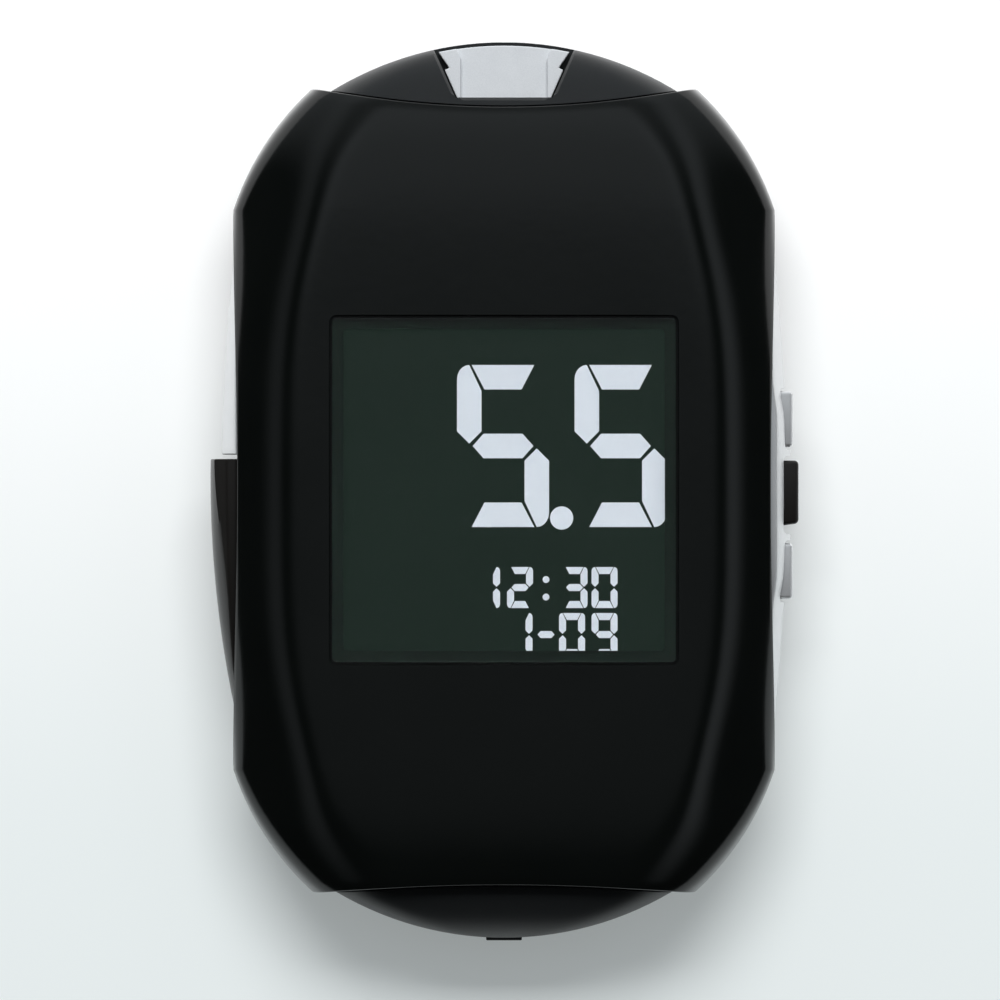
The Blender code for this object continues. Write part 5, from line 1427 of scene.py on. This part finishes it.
def strip_tray(paint):
    narrow = TRAY_NARROW - SEAM
    step = narrow + TRAY_SLOPE * (TRAY_STEP_Y - TRAY_MOUTH_Y)
    outer = narrow + TRAY_SLOPE * (TRAY_END_Y - TRAY_MOUTH_Y) - TRAY_STEP
    arc = NOSE_ARC - (NOSE_END_Y - TRAY_END_Y)
    across = [outer * share for share in reversed(spread(-1, 1, 16))]
    end = [(x, NOSE_ARC_Y + math.sqrt(arc**2 - x**2)) for x in across]
    right = [
        (narrow, TRAY_INNER_Y),
        (narrow, TRAY_MOUTH_Y),
        (step, TRAY_STEP_Y),
        (step - TRAY_STEP, TRAY_STEP_Y + SEAM),
    ]
    left = [(-x, y) for x, y in reversed(right)]
    tray = extrude("port_tray", right + end + left, TRAY_LOW_Z, TRAY_TOP_Z)
    half = TRAY_CHANNEL / 2
    mouth = TRAY_END_Y + OVERRUN
    flare = half + TRAY_FLARE
    flare_y = TRAY_END_Y - TRAY_FLARE_LONG
    inner_y = TRAY_INNER_Y - OVERRUN
    channel = [(-half, inner_y), (half, inner_y), (half, flare_y), (flare, TRAY_END_Y)]
    channel += [(flare, mouth), (-flare, mouth), (-flare, TRAY_END_Y), (-half, flare_y)]
    cut(tray, extrude("channel", channel, STRIP_Z, FRONT_Z))
    rounded_edges(tray, 0.1 * MM, 3, 50)
    return finish_piece(tray, paint["port_white"], "case", "strip_tray", sharp=12)


def batteries(paint):
    step, soft, groove = CAN_STEP, CAN_SOFT, CAN_GROOVE
    low, high = BATTERY_LOW_Z, BATTERY_TOP_Z
    rim = high - step / 2
    radius = CELL_RADIUS - CAN_ROOM
    profile = [
        (0, low),
        (radius - 3 * step, low),
        (radius - 2.9 * step, low + groove),
        (radius - 2.6 * step, low + groove),
        (radius - 2.5 * step, low),
        (radius - step, low),
        (radius - 0.2 * step, low + 0.8 * step),
        (radius, low + 1.3 * step),
        (radius, high - step),
        (radius - soft, high - step + soft),
        (radius - step, rim),
        (radius - 2 * step, rim),
        (radius - 2.2 * step, rim - soft),
        (radius - 2.5 * step, rim - soft),
        (radius - 2.7 * step, rim),
        (radius - 3 * step, high - soft / 2),
        (radius - 3.3 * step, high),
        (0, high),
    ]
    for tag, side in (("left", -1), ("right", 1)):
        cell = lathe("battery_can_" + tag, profile, (side * CELL_AT[0], CELL_AT[1]))
        finish_piece(cell, paint["cell_steel"], "case", "battery_" + tag)


def screw_tree():
    """Geometry nodes for a set of socket screws that stand on given points, heads down."""
    group = bpy.data.node_groups.new("screw_set", "GeometryNodeTree")
    tree = Tree(group)
    sockets = group.interface
    sizes = {
        "Head Radius": SCREW_HEAD_RADIUS,
        "Head Thickness": SCREW_HEAD_THICK,
        "Head Chamfer": SEAT,
        "Shank Radius": SCREW_RADIUS,
        "Tip Height": SCREW_TIP_Z,
        "Socket Radius": 0.75 * MM,
        "Socket Depth": 0.6 * MM,
    }
    sockets.new_socket("Places", in_out="INPUT", socket_type="NodeSocketGeometry")
    for name, value in sizes.items():
        sockets.new_socket(name, in_out="INPUT", socket_type="NodeSocketFloat").default_value = value
    sockets.new_socket("Finish", in_out="INPUT", socket_type="NodeSocketMaterial")
    sockets.new_socket("Geometry", in_out="OUTPUT", socket_type="NodeSocketGeometry")
    given = tree.node("NodeGroupInput").outputs
    size = {name: Number(tree, given[name]) for name in sizes}

    def raised(mesh, height):
        move = tree.first("ShaderNodeCombineXYZ", {"Z": height})
        return tree.first("GeometryNodeTransform", {"Geometry": mesh, "Translation": move})

    def cone(low_radius, high_radius, tall, sides=40):
        values = {"Vertices": sides, "Radius Top": high_radius, "Radius Bottom": low_radius, "Depth": tall}
        return tree.node("GeometryNodeMeshCone", {}, values).outputs["Mesh"]

    head_radius, thick, chamfer = size["Head Radius"], size["Head Thickness"], size["Head Chamfer"]
    edge = cone(head_radius - chamfer, head_radius, chamfer)
    body = raised(cone(head_radius, head_radius, thick - chamfer), chamfer)
    socket_radius, socket_depth = size["Socket Radius"], size["Socket Depth"]
    drive = raised(cone(socket_radius, socket_radius, socket_depth * 2.0, 6), socket_depth * -1.0)
    joined = tree.node("GeometryNodeMeshBoolean", {"operation": "UNION", "solver": "EXACT"})
    for mesh in (edge, body):
        tree.feed(joined.inputs["Mesh 2"], mesh)
    cutting = {"operation": "DIFFERENCE", "solver": "EXACT"}
    head = tree.node("GeometryNodeMeshBoolean", cutting, {"Mesh 1": joined.outputs["Mesh"]})
    tree.feed(head.inputs["Mesh 2"], drive)
    heads = {"Points": given["Places"], "Instance": head.outputs["Mesh"]}
    placed = tree.first("GeometryNodeInstanceOnPoints", heads)
    place = tree.node("GeometryNodeInputPosition").outputs["Position"]
    place_z = tree.number("ShaderNodeSeparateXYZ", {}, {"Vector": place}, "Z")
    unit_long = 10.0 * MM
    stretch = (size["Tip Height"] - place_z - thick) / unit_long
    scale = tree.first("ShaderNodeCombineXYZ", {"X": 1.0, "Y": 1.0, "Z": stretch})
    shank = cone(size["Shank Radius"], size["Shank Radius"] * 0.92, unit_long, 28)
    shanks = {"Points": given["Places"], "Instance": shank, "Scale": scale}
    shafts = tree.first("GeometryNodeInstanceOnPoints", shanks)
    shift = tree.first("ShaderNodeCombineXYZ", {"Z": thick - 0.001 * MM})
    lifted = tree.first("GeometryNodeTranslateInstances", {"Instances": shafts, "Translation": shift})
    both = tree.node("GeometryNodeJoinGeometry")
    tree.feed(both.inputs[0], placed)
    tree.feed(both.inputs[0], lifted)
    real = tree.first("GeometryNodeRealizeInstances", {"Geometry": both.outputs[0]})
    painted = tree.first("GeometryNodeSetMaterial", {"Geometry": real, "Material": given["Finish"]})
    tree.node("NodeGroupOutput", {}, {"Geometry": painted})
    return group


def case_screws(paint):
    places = [(side * x, y, screw_head_z(x, y)) for side in (-1, 1) for x, y in (TOP_SCREW, LOW_SCREW)]
    mesh = bpy.data.meshes.new("case_screws")
    mesh.from_pydata(places, [], [])
    screws = link(bpy.data.objects.new("case_screws", mesh))
    step = screws.modifiers.new("form", "NODES")
    step.node_group = screw_tree()
    settle(screws)
    names = [f"screw_{end}_{side}" for side in ("left", "right") for end in ("top", "low")]
    finish_piece(screws, paint["bright_steel"], "case", *names)


def dress_inner_parts(paint):
    """Finishes for the solids that keep their own shape."""
    slots = {
        "window_gasket": "seal_rubber",
        "display_cell": "display_glass",
        "light_guide": "guide_clear",
        "display_frame": "frame_white",
        "zebra_strip": "seal_rubber",
        "lamp_left": "inner_white",
        "lamp_right": "inner_white",
        "main_board": "board_green",
        "controller_chip": "chip_black",
        "memory_chip": "chip_black",
        "buzzer": "chip_black",
        "strip_connector": "inner_white",
        "lever_pin": "bright_steel",
        "eject_crank": "inner_white",
        "crank_spring": "bright_steel",
        "strip_pusher": "inner_white",
    }
    for k in range(1, 5):
        slots[f"strip_contact_{k}"] = "gold_contact"
    for key in ("up", "enter", "down"):
        slots[key + "_switch"] = "chip_black"
        slots[key + "_plunger"] = "inner_white"
    for side in ("left", "right"):
        slots["minus_contact_" + side] = "gold_contact"
        slots["plus_contact_" + side] = "gold_contact"
    for name, slot in slots.items():
        cad[name].data.materials.clear()
        cad[name].data.materials.append(paint[slot].material)


# The camera looks straight down, and one millimetre at VIEW_Z takes a hundredth of the frame
VIEW_X = -0.4 * MM
VIEW_Y = -1.0 * MM
VIEW_Z = 10.0 * MM
VIEW_WIDE = 100.0 * MM
CAMERA_HIGH = 1.0
SENSOR = 36.0
FRAME_PIXELS = 1000
FLOOR_HALF = 3.0
FLOOR_GAP = 0.02 * MM


def make_camera():
    data = bpy.data.cameras.new("camera")
    data.sensor_width = SENSOR
    data.lens = SENSOR * CAMERA_HIGH / VIEW_WIDE
    data.clip_end = 20.0
    camera = link(bpy.data.objects.new("camera", data))
    camera.location = (VIEW_X, VIEW_Y, VIEW_Z + CAMERA_HIGH)
    bpy.context.scene.camera = camera


def area_lamp(name, tilt, turn, away, size, power):
    """A soft box that faces the meter, tilt degrees from overhead, towards turn degrees round from +X."""
    data = bpy.data.lights.new(name, "AREA")
    data.shape = "RECTANGLE"
    data.size, data.size_y = size
    data.energy = power
    lamp = link(bpy.data.objects.new(name, data))
    lamp.visible_glossy = False
    lean, round_ = math.radians(tilt), math.radians(turn)
    toward = Vector((math.sin(lean) * math.cos(round_), math.sin(lean) * math.sin(round_), math.cos(lean)))
    lamp.location = toward * away
    lamp.rotation_euler = toward.to_track_quat("Z", "Y").to_euler()
    return lamp


def make_floor():
    """A lit sheet of pale paper that also glows to camera, glossy and transmission rays, with painted shade:
    its colour and its glow are darker and a shade cooler towards the meter's low end, where the key lamp's
    light falls off.
    """
    half = FLOOR_HALF
    mesh = bpy.data.meshes.new("floor")
    corners = [(-half, -half), (half, -half), (half, half), (-half, half)]
    mesh.from_pydata([(x, y, -FLOOR_GAP) for x, y in corners], [], [(0, 1, 2, 3)])
    floor = link(bpy.data.objects.new("floor", mesh))
    paper = Finish("floor_paper")
    parts = paper.node("ShaderNodeSeparateXYZ", {}, {"Vector": paper.place}).outputs
    # painted shade: this share darkens the paper's colour towards -Y, standing in for the key lamp's light
    # falling off
    up = Number(paper, parts["Y"]).eased(-40.0 * MM, 45.0 * MM)
    paper.colour(up, (0.56, 0.59, 0.59), (0.64, 0.64, 0.64))
    paper.roughness(0.9 + 0.05 * paper.noise(0.3 * MM))
    rays = paper.node("ShaderNodeLightPath").outputs
    seen = Number(paper, rays["Is Camera Ray"]) + Number(paper, rays["Is Glossy Ray"])
    seen = (seen + Number(paper, rays["Is Transmission Ray"])).clamped()
    # painted shade in the glow as well: weaker towards -Y, by the same share
    shine = paper.mixed(up, (0.28, 0.30, 0.30), (0.40, 0.40, 0.40))
    paper.feed(paper.shader.inputs["Emission Color"], paper.mixed(seen, (0.0, 0.0, 0.0), shine))
    paper.shader.inputs["Emission Strength"].default_value = 1.0
    mesh.materials.append(paper.material)


def make_world():
    """A dark room with a bright far wall above the meter and two dim side panels."""
    world = bpy.data.worlds.new("studio")
    bpy.context.scene.world = world
    world.use_nodes = True
    sky = Tree(world.node_tree)
    way = sky.node("ShaderNodeTexCoord").outputs["Generated"]
    parts = sky.node("ShaderNodeSeparateXYZ", {}, {"Vector": way}).outputs
    x, y, z = (Number(sky, parts[axis]) for axis in "XYZ")
    lean = z.math("ARCCOSINE", z.clamped()) * (180 / math.pi)
    flat = (x * x + y * y).root().at_least(0.001)
    upward = (y / flat).between(0.3, 0.9)
    sideways = (abs(x) / flat).between(0.5, 0.95)
    toward_nose = y.math("ARCSINE", y) * (180 / math.pi)
    overhead = 1.0 - lean.eased(16.0, 34.0)
    ceiling = (0.11 * toward_nose.eased(-17.0, -4.0) + 0.32 * toward_nose.eased(0.8, 4.8)) * overhead
    far_wall = (0.25 * lean.eased(8.0, 24.0) + 0.38 * lean.eased(42.0, 64.0)) * upward
    panel = lean.eased(38.0, 50.0) * (1.0 - lean.eased(53.0, 68.0)) * sideways
    right_more = (x / flat).between(-1.0, 1.0)
    level = 0.012 + ceiling + far_wall + panel * (0.2 + 0.24 * right_more)
    background = world.node_tree.nodes["Background"]
    sky.feed(background.inputs["Strength"], level)
    background.inputs["Color"].default_value = (0.93, 1.0, 1.05, 1.0)


paint = paints()
pebble = pebble_tree()
front_cover(paint)
rear_cover(paint, pebble)
battery_door(paint, pebble)
side_trims(paint)
side_keys(paint)
eject_lever(paint)
window_pane(paint)
display_figures(paint)
strip_tray(paint)
batteries(paint)
case_screws(paint)
dress_inner_parts(paint)
make_camera()
make_floor()
make_world()
area_lamp("key", 36, 90, 0.8, (0.6, 0.3), 7.0)
bpy.context.scene.view_settings.view_transform = "Standard"
